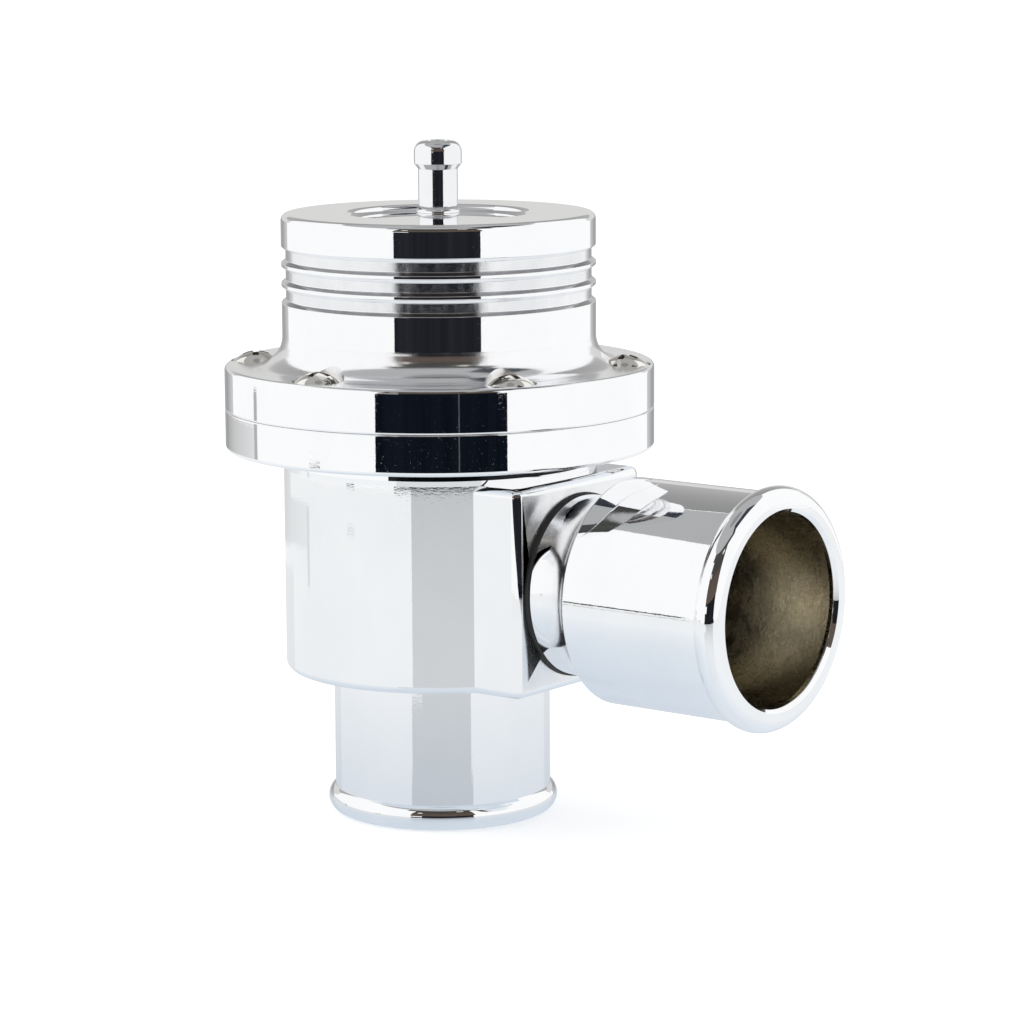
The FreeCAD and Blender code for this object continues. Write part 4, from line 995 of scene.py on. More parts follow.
class Nodes:
    """A material's node tree, with short calls to add and join its nodes."""

    def __init__(self, name: str) -> None:
        """Start a material with a Principled shader.

        Args:
            name: Name of the material.
        """
        self.material = bpy.data.materials.new(name)
        self.material.use_nodes = True
        self.tree = self.material.node_tree
        self.tree.nodes.clear()
        self.shader = self.add("ShaderNodeBsdfPrincipled")
        self.output = self.add("ShaderNodeOutputMaterial")
        self.join(self.shader, "BSDF", self.output, "Surface")
        self.place = self.add("ShaderNodeTexCoord")

    @classmethod
    def glowing(cls, name: str) -> tuple["Nodes", bpy.types.Node]:
        """Start a material that shines by itself.

        Args:
            name: Name of the material.

        Returns:
            Its nodes, and the emission among them.
        """
        nodes = cls(name)
        nodes.tree.nodes.remove(nodes.shader)
        shine = nodes.add("ShaderNodeEmission")
        nodes.join(shine, "Emission", nodes.output, "Surface")
        return nodes, shine

    def add(self, kind: str, **settings: object) -> bpy.types.Node:
        """Add a node, with its properties or, where it has none of that name, its sockets set."""
        node = self.tree.nodes.new(kind)
        for name, value in settings.items():
            if hasattr(node, name):
                setattr(node, name, value)
            else:
                node.inputs[name.replace("_", " ").title()].default_value = value
        return node

    def join(self, one: bpy.types.Node, out: str | int, other: bpy.types.Node,
             into: str | int) -> None:
        """Join an output of one node to an input of another."""
        self.tree.links.new(one.outputs[out], other.inputs[into])

    def stretched(self, scale: tuple[float, float, float]) -> bpy.types.Node:
        """Object coordinates times a scale along each axis."""
        mapping = self.add("ShaderNodeMapping")
        mapping.inputs["Scale"].default_value = scale
        self.join(self.place, "Object", mapping, "Vector")
        return mapping

    def noise(self, scale: tuple[float, float, float], detail: float = 3.0, roughness: float = 0.5,
              distortion: float = 0.0) -> bpy.types.Node:
        """Noise over Object coordinates times a scale along each axis."""
        node = self.add("ShaderNodeTexNoise", scale=1.0, detail=detail, roughness=roughness,
                        distortion=distortion)
        self.join(self.stretched(scale), "Vector", node, "Vector")
        return node

    def ranged(self, source: bpy.types.Node, out: str, low: float, high: float, to_low: float,
               to_high: float) -> bpy.types.Node:
        """A value that goes from to_low to to_high while the source goes from low to high."""
        node = self.add("ShaderNodeMapRange", from_min=low, from_max=high, to_min=to_low,
                        to_max=to_high)
        self.join(source, out, node, "Value")
        return node

    def shades(self, source: bpy.types.Node, out: str,
               *stops: tuple[float, tuple[float, float, float]]) -> bpy.types.Node:
        """Colours that run through the stops as the source goes from 0 to 1."""
        node = self.add("ShaderNodeValToRGB")
        ramp = node.color_ramp
        while len(ramp.elements) < len(stops):
            ramp.elements.new(0.5)
        for element, (place, colour) in zip(ramp.elements, stops):
            element.position = place
            element.color = (*colour, 1.0)
        self.join(source, out, node, "Fac")
        return node

    def bump(self, source: bpy.types.Node, out: str, height: float, strength: float = 1.0,
             under: bpy.types.Node | None = None) -> bpy.types.Node:
        """A bump whose full height is given in metres, on top of another bump."""
        node = self.add("ShaderNodeBump", strength=strength, distance=height)
        self.join(source, out, node, "Height")
        if under is not None:
            self.join(under, "Normal", node, "Normal")
        return node

    def set(self, **sockets: float | tuple[float, float, float]) -> None:
        """Set the shader's own sockets, named in lower case with underscores."""
        for name, value in sockets.items():
            socket = next(socket for socket in self.shader.inputs
                          if socket.name.lower().replace(" ", "_") == name)
            socket.default_value = (*value, 1.0) if isinstance(value, tuple) else value


@dataclass(frozen=True)
class MetalFinish:
    """A metal surface: plated and polished, turned, wound or rolled.

    Attributes:
        name: Name of the finish.
        light: Colour of its clean parts.
        dark: Colour of its duller parts.
        smooth: Lowest roughness.
        rough: Highest roughness.
        ripple: Height in metres of the soft waves that polishing leaves.
        marks: Height in metres of the fine polishing marks, or 0.
        lines: Height in metres of fine turning lines round the valve's axis, or 0.
        pits: Roughness of tiny pits in the plating, or 0.
        grain: Height in metres of a fine grain that is the same in all directions, or 0.
        cloud: Cycles per metre of the colour's cloud, across and up.
        deep: Heights in metres between which painted shade clears from the colour, or nothing.
    """

    name: str
    light: tuple[float, float, float]
    dark: tuple[float, float, float]
    smooth: float
    rough: float
    ripple: float = 0.0
    marks: float = 0.0
    lines: float = 0.0
    pits: float = 0.0
    grain: float = 0.0
    cloud: tuple[float, float] = (140.0, 90.0)
    deep: tuple[float, ...] = ()

    def material(self) -> bpy.types.Material:
        """Make the material.

        Colour and roughness follow a broad cloud of noise with fine specks in it, and where the
        plating has pits, spots of noise above a threshold are rougher. The bump is the sum of
        soft waves about 3 mm across, fine polishing marks, turning lines round the axis and a
        grain. Where it is deep, painted shade darkens the colour to a quarter at the bottom, and
        clears with height.

        Returns:
            The material.
        """
        nodes = Nodes(self.name)
        across, up = self.cloud
        cloud = nodes.noise((across, across, up), 4.0, 0.6, 0.3)
        tone = nodes.shades(cloud, "Fac", (0.35, self.dark), (0.62, self.light))
        # Painted shade: the colour darkens towards the bottom, from a quarter up to its full value.
        if self.deep:
            spot = nodes.add("ShaderNodeSeparateXYZ")
            nodes.join(nodes.place, "Object", spot, 0)
            painted_shade = nodes.add("ShaderNodeVectorMath", operation="SCALE")
            nodes.join(tone, 0, painted_shade, 0)
            nodes.join(nodes.ranged(spot, "Z", *self.deep, 0.25, 1.0), 0, painted_shade, "Scale")
            tone = painted_shade
        nodes.join(tone, 0, nodes.shader, "Base Color")
        specks = nodes.noise((900.0, 900.0, 420.0), 5.0, 0.65)
        gloss = nodes.ranged(specks, "Fac", 0.3, 0.72, self.smooth, self.rough)
        if self.pits:
            fine = nodes.noise((5200.0, 5200.0, 5200.0), 2.0, 0.5)
            spots = nodes.ranged(fine, "Fac", 0.655, 0.715, 0.0, self.pits)
            both = nodes.add("ShaderNodeMath", operation="MAXIMUM")
            nodes.join(gloss, 0, both, 0)
            nodes.join(spots, 0, both, 1)
            gloss = both
        nodes.join(gloss, 0, nodes.shader, "Roughness")
        nodes.set(metallic=1.0)
        last = None
        for height, scale in ((self.ripple, (330.0, 330.0, 60.0)),
                              (self.marks, (1500.0, 1500.0, 4200.0)),
                              (self.lines, (60.0, 60.0, 9000.0)),
                              (self.grain, (3200.0, 3200.0, 3200.0))):
            if height:
                last = nodes.bump(nodes.noise(scale, 3.0, 0.55), "Fac", height, 1.0, last)
        if last is not None:
            nodes.join(last, "Normal", nodes.shader, "Normal")
        return nodes.material


@dataclass(frozen=True)
class RubberFinish:
    """Black moulded rubber with a dull bloom.

    Attributes:
        name: Name of the finish.
        light: Colour of the bloom.
        dark: Colour of the clean rubber.
        grain: Height of the moulded grain in metres.
    """

    name: str
    light: tuple[float, float, float]
    dark: tuple[float, float, float]
    grain: float

    def material(self) -> bpy.types.Material:
        """Make the material: a cloudy bloom, uneven gloss and a fine grain.

        Returns:
            The material.
        """
        nodes = Nodes(self.name)
        bloom = nodes.noise((260.0, 260.0, 260.0), 5.0, 0.65)
        tone = nodes.shades(bloom, "Fac", (0.38, self.dark), (0.7, self.light))
        nodes.join(tone, "Color", nodes.shader, "Base Color")
        nodes.join(nodes.ranged(bloom, "Fac", 0.3, 0.7, 0.42, 0.68), 0, nodes.shader, "Roughness")
        grain = nodes.noise((5200.0, 5200.0, 5200.0), 3.0, 0.6)
        nodes.join(nodes.bump(grain, "Fac", self.grain), "Normal", nodes.shader, "Normal")
        return nodes.material


BARE_BORE = MetalFinish("bare_bore", (0.87, 0.81, 0.67), (0.68, 0.61, 0.47), 0.18, 0.36,
                        marks=4e-6, grain=3e-5, cloud=(2400.0, 2400.0))
FINISHES = {
    "plated_aluminium": MetalFinish("chrome_plate", (0.965, 0.97, 0.978), (0.94, 0.948, 0.96),
                                    0.008, 0.03, ripple=1.6e-6, marks=1.1e-6, pits=0.12),
    "plated_satin": MetalFinish("chrome_satin", (0.965, 0.97, 0.978), (0.935, 0.94, 0.955),
                                0.12, 0.19, ripple=3e-6, marks=1.5e-6),
    "port_face": MetalFinish("chrome_port_face", (0.94, 0.945, 0.955), (0.89, 0.895, 0.91),
                             0.20, 0.30, ripple=3e-6, marks=2e-6),
    # Rougher chrome for the cap's grooves, whose colour is also darker as painted shade.
    "plated_groove": MetalFinish("chrome_in_grooves", (0.90, 0.905, 0.92), (0.80, 0.81, 0.83),
                                 0.10, 0.24, ripple=3e-6, marks=4e-6),
    # A dark copy of the chrome for the grooves' up-facing flanks: painted shade.
    "groove_shade": MetalFinish("chrome_in_shade", (0.56, 0.56, 0.58), (0.42, 0.42, 0.44),
                                0.05, 0.12, marks=2e-6),
    "bare_bore": BARE_BORE,
    # The outlet's bore carries painted shade, darker towards its bottom.
    "outlet_bore": replace(BARE_BORE, name="outlet_bore", deep=(0.0185, 0.0275)),
    # Near-black chrome for the neck under the flange over the block: painted shade.
    "crease_painted_shade": MetalFinish("shaded_crease", (0.035, 0.036, 0.04), (0.014, 0.014, 0.016),
                          0.14, 0.30, ripple=3e-6),
    "plated_nipple": MetalFinish("chrome_nipple", (0.93, 0.935, 0.945), (0.88, 0.885, 0.90),
                                 0.02, 0.07, ripple=2e-6, marks=1.5e-6, pits=0.2),
    "screw_steel": MetalFinish("nickel_screw", (0.95, 0.93, 0.89), (0.87, 0.84, 0.79),
                               0.03, 0.10, ripple=6e-6, marks=2e-6),
    # Darker nickel for the screws' cross recess: painted shade.
    "screw_recess": MetalFinish("nickel_recess", (0.40, 0.36, 0.32), (0.22, 0.20, 0.18),
                                0.18, 0.40, marks=4e-6),
    "zinc_steel": MetalFinish("zinc_plate", (0.74, 0.75, 0.77), (0.58, 0.59, 0.62),
                              0.22, 0.42, ripple=3e-6),
    "stem_steel": MetalFinish("ground_steel", (0.70, 0.69, 0.68), (0.56, 0.55, 0.54),
                              0.12, 0.24, lines=3e-6),
    "spring_steel": MetalFinish("spring_wire", (0.52, 0.51, 0.50), (0.34, 0.33, 0.32),
                                0.22, 0.4, ripple=4e-6),
    "turned_aluminium": MetalFinish("bare_aluminium", (0.88, 0.88, 0.87), (0.76, 0.76, 0.75),
                                    0.2, 0.36, lines=6e-6),
    "bush_bronze": MetalFinish("oiled_bronze", (0.62, 0.42, 0.22), (0.44, 0.28, 0.14),
                               0.26, 0.46, ripple=5e-6),
    "seal_rubber": RubberFinish("seal_rubber", (0.03, 0.03, 0.032), (0.012, 0.012, 0.013), 1.5e-5),
    "diaphragm_rubber": RubberFinish("diaphragm_rubber", (0.05, 0.045, 0.04),
                                     (0.02, 0.018, 0.017), 4e-5),
}


@cache
def finish_of(name: str) -> bpy.types.Material:
    """The material of a finish, made once."""
    return FINISHES[name].material()


def finished(skin: Skin, node: str, body: str | None) -> bpy.types.Object:
    """Build and dress a piece, put it on its body and let it stand for its CAD node.

    Args:
        skin: The piece's surfaces.
        node: The CAD node that it replaces.
        body: The body that it moves with, or None to leave it on no body.

    Returns:
        The piece.
    """
    piece, slot = skin.build(), skin.finishes[0]
    for name in skin.finishes:
        piece.data.materials.append(finish_of(name))
    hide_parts(node)
    if body is not None:
        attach(piece, body)
    log.info("%s: %d faces", node, len(piece.data.polygons))
    return piece


# ------------------------------------------------------------------- pieces of the inside


@dataclass(frozen=True)
class Turned:
    """A turned, pressed or moulded ring of the inside, and what it is.

    Attributes:
        node: The CAD node that it stands for.
        body: The body that it moves with.
        slot: Its material slot.
        start: Where its half outline starts.
        corners: The other corners, each with its radius, without the start.
        steps: Steps round its axis.
    """

    node: str
    body: str
    slot: str
    start: tuple[float, float]
    corners: tuple[tuple[float, float, float], ...]
    steps: int = 128

    def build(self) -> bpy.types.Object:
        """Turn the closed half outline about the valve's axis.

        Returns:
            The piece.
        """
        skin = Skin(f"{self.node}_skin", (self.slot,))
        outline = HalfOutline(self.start).through(*self.corners, (*self.start, 0.0))
        skin.turn(outline, full_turn(self.steps))
        return finished(skin, self.node, self.body)


def thread(radius: float, depth: float, pitch: float, start: float, end: float
           ) -> tuple[tuple[float, float, float], ...]:
    """Corners of a thread's crests and roots, as rings up a bar.

    Formula: corner k is at start + k pitch / 4, on the crest for two corners and at the root for
    the next two.

    Args:
        radius: Radius of the crests.
        depth: Depth of the roots.
        pitch: Distance between two crests.
        start: Height of the first corner.
        end: Height that the last corner stays under.

    Returns:
        The corners, for a half outline that rises.
    """
    count = int((end - start) / pitch) * 4
    level = start + np.arange(count) * pitch / 4
    spread = radius - depth * np.isin(np.arange(count) % 4, (2, 3))
    return tuple((float(r), float(z), 0.0) for r, z in zip(spread, level))


@dataclass
class GuideParts:
    """What guides and closes the stem: the guide plate, its bush, the O-ring and the snap ring."""

    plate: float = 15.49
    boss: float = 7.0
    low: float = 32.0
    ledge: float = 37.8
    top: float = 39.8
    seal_middle: float = 37.35
    seal_ring: float = 3.17
    seal_thick: float = 0.65
    ring_open: float = 50.0
    bush: float = 6.01
    bush_top: float = 39.05
    balance_hole: float = 1.3
    balance: HoleCircle = HoleCircle(half_width=14.0, sector_steps=14, gap_steps=40, first=90.0,
                                     count=2, radius=11.0)

    def build(self) -> list[bpy.types.Object]:
        """Make the four pieces.

        Returns:
            The pieces.
        """
        bush = Turned("guide_bush", "housing", "bush_bronze", (2.5, self.low), (
            (4.5, self.low, 0.2), (4.5, 38.15, 0), (6.0, 38.15, 0), (6.0, self.bush_top, 0.15),
            (2.5, self.bush_top, 0.2), (2.5, 38.0, 0), (3.82, 38.0, 0), (3.82, 36.7, 0),
            (2.5, 36.7, 0)))
        return [self.guide_plate(), bush.build(), self.seal(), self.snap_ring()]

    def guide_plate(self) -> bpy.types.Object:
        """The plate with its boss, its groove for the snap ring and its two balance holes.

        Returns:
            The plate.
        """
        skin = Skin("guide_plate_skin", ("turned_aluminium",))
        angles = self.balance.all_round()
        rim = HalfOutline((self.plate, self.ledge)).to(self.plate, self.top)
        inside = HalfOutline((self.bush, self.top)).to(self.bush, 39.6).to(6.51, 39.6)
        inside.to(6.51, self.bush_top).to(self.bush, self.bush_top)
        inside.to(self.bush, 38.15).to(4.51, 38.15).to(4.51, self.low)
        inside.through((self.boss, self.low, 0.3), (self.boss, self.ledge, 0))
        skin.turn(rim, angles)
        skin.turn(inside, angles)
        hole = self.balance_hole
        self.balance.drill_flat(skin, self.boss, self.plate, self.ledge, -1.0, hole)
        self.balance.drill_flat(skin, self.bush, self.plate, self.top, 1.0, hole)
        self.balance.drill_walls(skin, hole, self.ledge, self.top)
        return finished(skin, "guide_plate", "housing")

    def seal(self) -> bpy.types.Object:
        """The O-ring round the stem: four quarter arcs about its middle, turned.

        Returns:
            The O-ring.
        """
        middle, level, thick = self.seal_ring, self.seal_middle, self.seal_thick
        outline = HalfOutline((middle + thick, level))
        for x, y in ((0, 1), (-1, 0), (0, -1), (1, 0)):
            outline.bend(middle + thick * x, level + thick * y, thick, Side.LEFT, 8)
        skin = Skin("stem_seal_skin", ("seal_rubber",))
        skin.turn(outline, full_turn(96))
        return finished(skin, "stem_seal", "housing")

    def snap_ring(self) -> bpy.types.Object:
        """The open snap ring, a turned rectangle with its two ends closed.

        Returns:
            The ring.
        """
        skin = Skin("bush_circlip_skin", ("zinc_steel",))
        angles = fan(0.0, 360.0 - self.ring_open, 96)
        low, high = self.bush_top, 39.55
        corners = ((5.31, low), (6.46, low), (6.46, high), (5.31, high), (5.31, low))
        outline = HalfOutline(corners[0])
        for corner in corners[1:]:
            outline.to(*corner)
        skin.turn(outline, angles)
        for angle, way in ((angles[0], -1.0), (angles[-1], 1.0)):
            square = np.array([[corners[0], corners[3]], [corners[1], corners[2]]])
            skin.add(ring(square[..., 0], square[..., 1], angle),
                     way * columns(-np.sin(angle), np.cos(angle), 0.0))
        return finished(skin, "bush_circlip", "housing")


@dataclass
class LiftingValve:
    """What rises: stem, poppet with its seal, retainer and screw, plates, washer and nut."""

    stem: float = 2.46
    across_flats: float = 7.0
    nut_low: float = 44.5
    nut_high: float = 46.7
    socket: float = 2.0
    face: float = 18.2

    def build(self) -> list[bpy.types.Object]:
        """Make the pieces.

        Returns:
            The pieces.
        """
        rings = (
            Turned("lower_plate", "valve", "turned_aluminium", (2.05, 40.9), (
                (11.8, 40.9, 0.3), (11.8, 41.9, 0.1), (2.05, 41.9, 0))),
            Turned("spring_cup", "valve", "zinc_steel", (2.05, 42.7), (
                (11.9, 42.7, 1.5), (11.9, 46.2, 0.2), (10.9, 46.2, 0.2), (10.9, 43.7, 0.5),
                (2.05, 43.7, 0))),
            Turned("valve_stem", "valve", "stem_steel", (0.0, 28.05), (
                (1.55, 26.5, 0), (1.55, 21.2, 0), (self.stem, 21.2, 0.1), (self.stem, 25.0, 0),
                (4.0, 25.0, 0.15), (4.0, 26.2, 0.15), (self.stem, 26.2, 0),
                (self.stem, 40.9, 0.1), (1.85, 40.9, 0),
                *thread(2.0, 0.2, 0.7, 41.2, 47.4), (1.6, 47.7, 0), (0.0, 47.7, 0)), 96),
            Turned("stem_washer", "valve", "zinc_steel", (2.05, 43.7), (
                (4.5, 43.7, 0.1), (4.5, 44.5, 0.15), (2.05, 44.5, 0)), 96),
            Turned("poppet", "valve", "turned_aluminium", (2.5, 20.9), (
                (12.2, 20.9, 0), (12.5, 21.2, 0), (12.5, 22.1, 0.2), (4.8, 23.7, 0.8),
                (4.8, 25.0, 0.2), (2.5, 25.0, 0))),
            Turned("poppet_seal", "valve", "seal_rubber", (5.0, 19.5), (
                (12.3, 19.5, 0.15), (12.3, 20.9, 0), (5.0, 20.9, 0))),
            Turned("seal_retainer", "valve", "turned_aluminium", (1.6, 19.5), (
                (2.9, self.face, 0.05), (8.6, self.face, 0.3), (8.6, 19.5, 0), (4.9, 19.5, 0),
                (4.9, 20.9, 0), (1.6, 20.9, 0))),
        )
        return [part.build() for part in rings] + [self.nut(), self.screw()]

    def hexagon(self, half: float, angles: np.ndarray) -> np.ndarray:
        """Distance to a hexagon's side: half / cos d, with d the angle from its middle."""
        return half / np.cos((angles + np.pi / 6) % (np.pi / 3) - np.pi / 6)

    def nut(self) -> bpy.types.Object:
        """The thin nut, with its corners chamfered at 30 degrees.

        Formula: the side is at half / cos d. Its ends are tan 30 times (side - half) lower than
        the flat faces, where the cones start at the largest circle inside the hexagon.

        Returns:
            The nut.
        """
        half, bore = self.across_flats / 2, 2.02
        angles = full_turn(72)
        side, cone = self.hexagon(half, angles), half - 0.05
        cut = (side - half + 0.05) * np.tan(np.radians(30.0))
        middle = (self.nut_low + self.nut_high) / 2 * UP
        low = ring(side, self.nut_low + cut, angles)
        high = ring(side, self.nut_high - cut, angles)
        skin = Skin("stem_nut_skin", ("zinc_steel",))
        skin.add_flats(np.stack([low, high]), middle)
        for edge, level, way in ((low, self.nut_low, -1.0), (high, self.nut_high, 1.0)):
            skin.add_flats(np.stack([edge, ring(cone, level, angles)]), middle)
            skin.span(ring(cone, level, angles), ring(bore, level, angles), way * UP)
        skin.span(ring(bore, self.nut_low, angles), ring(bore, self.nut_high, angles),
                  -ring(1.0, 0.0, angles))
        return finished(skin, "stem_nut", "valve")

    def screw(self) -> bpy.types.Object:
        """The countersunk screw with its hexagon socket, which faces down.

        Returns:
            The screw.
        """
        skin = Skin("poppet_screw_skin", ("screw_steel",))
        angles = full_turn(72)
        head, deep = 2.85, 1.2
        outline = HalfOutline((head, self.face))
        outline.through((1.5, 19.55, 0), *thread(1.5, 0.15, 0.5, 19.9, 26.0), (1.3, 26.2, 0),
                        (0.0, 26.2, 0))
        skin.turn(outline, angles)
        brink = ring(self.hexagon(self.socket / 2, angles), self.face, angles)
        floor = brink + deep * UP
        skin.span(ring(head, self.face, angles), brink, -UP)
        skin.add_flats(np.stack([brink, floor]), (self.face + deep / 2) * UP, hollow=True)
        skin.span(floor, 0 * floor + (self.face + deep) * UP, -UP)
        return finished(skin, "poppet_screw", "valve")


@dataclass
class Diaphragm:
    """The rubber diaphragm: disc, rolled wall and a rim with a bead that the flanges hold."""

    hole: float = 2.3
    low: float = 41.9
    held: float = 46.6
    free: float = 42.7

    def build(self) -> bpy.types.Object:
        """Make the diaphragm, with its place baked into its mesh.

        Returns:
            The diaphragm.
        """
        wide, tight = 2.4, 1.6
        outline = HalfOutline((self.hole, self.low)).to(12.6, self.low, 6)
        outline.bend(15.0, 44.3, wide, Side.LEFT, 10).to(15.0, 44.8, 2)
        outline.bend(16.6, 46.4, tight, Side.RIGHT, 8)
        outline.through((18.0, 46.4, 0), (18.0, 45.6, 0.3), (19.2, 45.6, 0.3), (19.2, 47.2, 0),
                        (16.6, 47.2, 0))
        outline.bend(14.2, 44.8, wide, Side.LEFT, 10).to(14.2, 44.3, 2)
        outline.bend(12.6, self.free, tight, Side.RIGHT, 8)
        outline.to(self.hole, self.free, 6).to(self.hole, self.low)
        skin = Skin("diaphragm_skin", ("diaphragm_rubber",))
        skin.turn(outline, full_turn(144))
        piece = finished(skin, "diaphragm", None)
        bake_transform(piece)
        return piece


@dataclass
class ReturnSpring:
    """The coil spring between the cup and the cap, with closed, ground ends, and its shim."""

    low: float = 43.7
    high: float = 65.4
    radius: float = 9.5
    wire: float = 0.8
    closed_pitch: float = 1.65
    open_turns: float = 4.0
    stroke: float = 5.5

    def build(self) -> list[bpy.types.Object]:
        """Make the spring and its shim, and give the spring a mesh of its own.

        Returns:
            The two pieces.
        """
        piece = finished(self.coil(), "return_spring", "housing")
        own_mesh(piece)
        shim = Turned("spring_shim", "housing", "zinc_steel", (6.55, self.high), (
            (11.2, self.high, 0.1), (11.2, 66.2, 0), (6.55, 66.2, 0)))
        return [piece, shim.build()]

    def coil(self) -> Skin:
        """The wire's surface.

        Formula: after n turns the wire's middle is at radius R, angle 2 pi n and a height that
        rises by the closed pitch in the first and the last turn, and evenly between. Round it a
        point is R + w cos v outward and w sin v upward. The ends are ground flat: heights are
        held between the spring's two end planes.

        Returns:
            The skin.
        """
        count = self.open_turns + 2
        turns = np.linspace(0, count, int(count) * 56 + 1)
        rise = self.high - self.low - 2 * self.closed_pitch
        first = self.low + self.closed_pitch
        middle = np.interp(turns, [0, 1, count - 1, count],
                           [self.low, first, first + rise, self.high])[:, None]
        angle = (turns * TURN)[:, None]
        around = full_turn(18)
        spread = self.radius + self.wire * np.cos(around)
        height = middle + self.wire * np.sin(around)
        held = np.clip(height, self.low, self.high)
        ground = np.sign(height - held)
        points = ring(spread, held, angle)
        side = np.where(ground != 0, 0.0, np.cos(around))
        lean = np.where(ground != 0, ground, np.sin(around))
        skin = Skin("return_spring_skin", ("spring_steel",))
        skin.add(points, ring(side, lean, angle))
        for row, way in ((0, -1.0), (-1, 1.0)):
            heart = points[row] * 0 + points[row].mean(0)
            facing = way * columns(-np.sin(angle[row, 0]), np.cos(angle[row, 0]), 0.0)
            skin.span(points[row], heart, facing)
        return skin


# ----------------------------------------------------------------- studio and viewpoint


@dataclass(frozen=True)
class Viewpoint:
    """The camera, seen from the valve's axis.

    Attributes:
        azimuth: Degrees round from the front, towards the outlet.
        elevation: Degrees above the horizon.
        roll: Degrees that the camera leans.
        distance: Millimetres from the target.
        across: The target's distance from the axis along the picture's width.
        height: The target's height.
        focal: Focal length in picture widths.
    """

    azimuth: float = 37.647
    elevation: float = 9.491
    roll: float = -0.312
    distance: float = 426.86
    across: float = 8.210
    height: float = 34.686
    focal: float = 3700.0 / 1024.0

    def build(self) -> bpy.types.Object:
        """Make the scene's camera.

        Formula: with azimuth a, elevation e and roll r, back = (sin a cos e, -cos a cos e, sin e),
        level = (cos a, sin a, 0) and up = back x level. The picture's axes are level and up
        turned by r, and the camera stands at target + distance back.

        Returns:
            The camera.
        """
        turn, rise, lean = np.radians([self.azimuth, self.elevation, self.roll])
        back = Vector((np.sin(turn) * np.cos(rise), -np.cos(turn) * np.cos(rise), np.sin(rise)))
        level = Vector((np.cos(turn), np.sin(turn), 0.0))
        up = back.cross(level)
        right = np.cos(lean) * level + np.sin(lean) * up
        top = back.cross(right)
        target = level * self.across + Vector((0.0, 0.0, self.height))
        data = bpy.data.cameras.new("viewpoint")
        data.sensor_width = 36.0
        data.lens = 36.0 * self.focal
        data.clip_start, data.clip_end = 0.01, 20.0
        camera = bpy.data.objects.new("viewpoint", data)
        bpy.context.scene.collection.objects.link(camera)
        camera.matrix_world = Matrix.Translation((target + back * self.distance) * MM) @ Matrix(
            (right, top, back)).transposed().to_4x4()
        bpy.context.scene.camera = camera
        return camera


class Run(Enum):
    """Which way a card's colours change."""

    UP = "up"
    ROUND = "round"
    OUT = "out"


def share_along(mesh: bpy.types.Mesh, run: Run, facing: float) -> None:
    """Store how far along its run each vertex lies, from 0 to 1, as the mesh's "share".

    Formula: the value is the height, the angle from the camera or the distance from the axis,
    less its smallest, over its span.

    Args:
        mesh: The card's mesh.
        run: Which of the three it is.
        facing: The camera's direction from the axis, in degrees.
    """
    spots = np.empty(len(mesh.vertices) * 3, np.float32)
    mesh.vertices.foreach_get("co", spots)
    spots = spots.reshape(-1, 3)
    angle = (np.arctan2(spots[:, 1], spots[:, 0]) - np.radians(facing)) % TURN
    reach = np.hypot(spots[:, 0], spots[:, 1])
    value = {Run.UP: spots[:, 2], Run.ROUND: angle, Run.OUT: reach}[run]
    share = (value - value.min()) / max(float(np.ptp(value)), 1e-9)
    kept = mesh.attributes.new("share", "FLOAT", "POINT")
    kept.data.foreach_set("value", share.astype(np.float32))


def only_reflected(card: bpy.types.Object) -> None:
    """Show a card in reflections alone, and leave it out of the object."""
    card.visible_camera = card.visible_diffuse = card.visible_shadow = False
    card.visible_transmission = card.visible_volume_scatter = False


@dataclass(frozen=True)
class Reflector:
    """A card on a sphere round the valve that only its reflections show.

    Attributes:
        name: Name of the card.
        start: Where it starts, in degrees round from the camera.
        end: Where it ends.
        low: Its lower edge, in degrees above the sphere's middle.
        high: Its upper edge.
        stops: Shares of its run and the colours there.
        run: Which way the colours change.
        distance: The sphere's radius in millimetres.
        mottle: How much the colour varies from spot to spot.
    """

    name: str
    start: float
    end: float
    low: float
    high: float
    stops: tuple[tuple[float, tuple[float, float, float]], ...]
    run: Run = Run.UP
    distance: float = 620.0
    mottle: float = 0.0

    def build(self, facing: float, middle: float) -> bpy.types.Object:
        """Make the card: (R cos e cos a, R cos e sin a, middle + R sin e).

        Args:
            facing: The camera's direction from the axis, in degrees.
            middle: Height of the sphere's middle.

        Returns:
            The card.
        """
        wide, tall = (self.end - self.start) / 2, (self.high - self.low) / 3
        angles = fan(facing + self.start, facing + self.end, max(4, int(wide)))
        rise = fan(self.low, self.high, max(4, int(tall)))[:, None]
        out = ring(np.cos(rise), np.sin(rise), angles)
        skin = Skin(self.name)
        skin.add(self.distance * out + middle * UP, -out)
        card = skin.build()
        share_along(card.data, self.run, facing)
        nodes, shine = Nodes.glowing(self.name)
        share = nodes.add("ShaderNodeAttribute", attribute_name="share")
        nodes.join(nodes.shades(share, "Fac", *self.stops), "Color", shine, "Color")
        if self.mottle:
            spots = nodes.noise((14.0, 14.0, 2.5), 4.0, 0.6)
            level = nodes.ranged(spots, "Fac", 0.35, 0.7, 1.0, 1.0 + self.mottle)
            nodes.join(level, 0, shine, "Strength")
        card.data.materials.append(nodes.material)
        only_reflected(card)
        return card


def plain(*colour: float) -> tuple[tuple[float, tuple[float, ...]], ...]:
    """Stops of one colour all along."""
    return (0, colour), (1, colour)


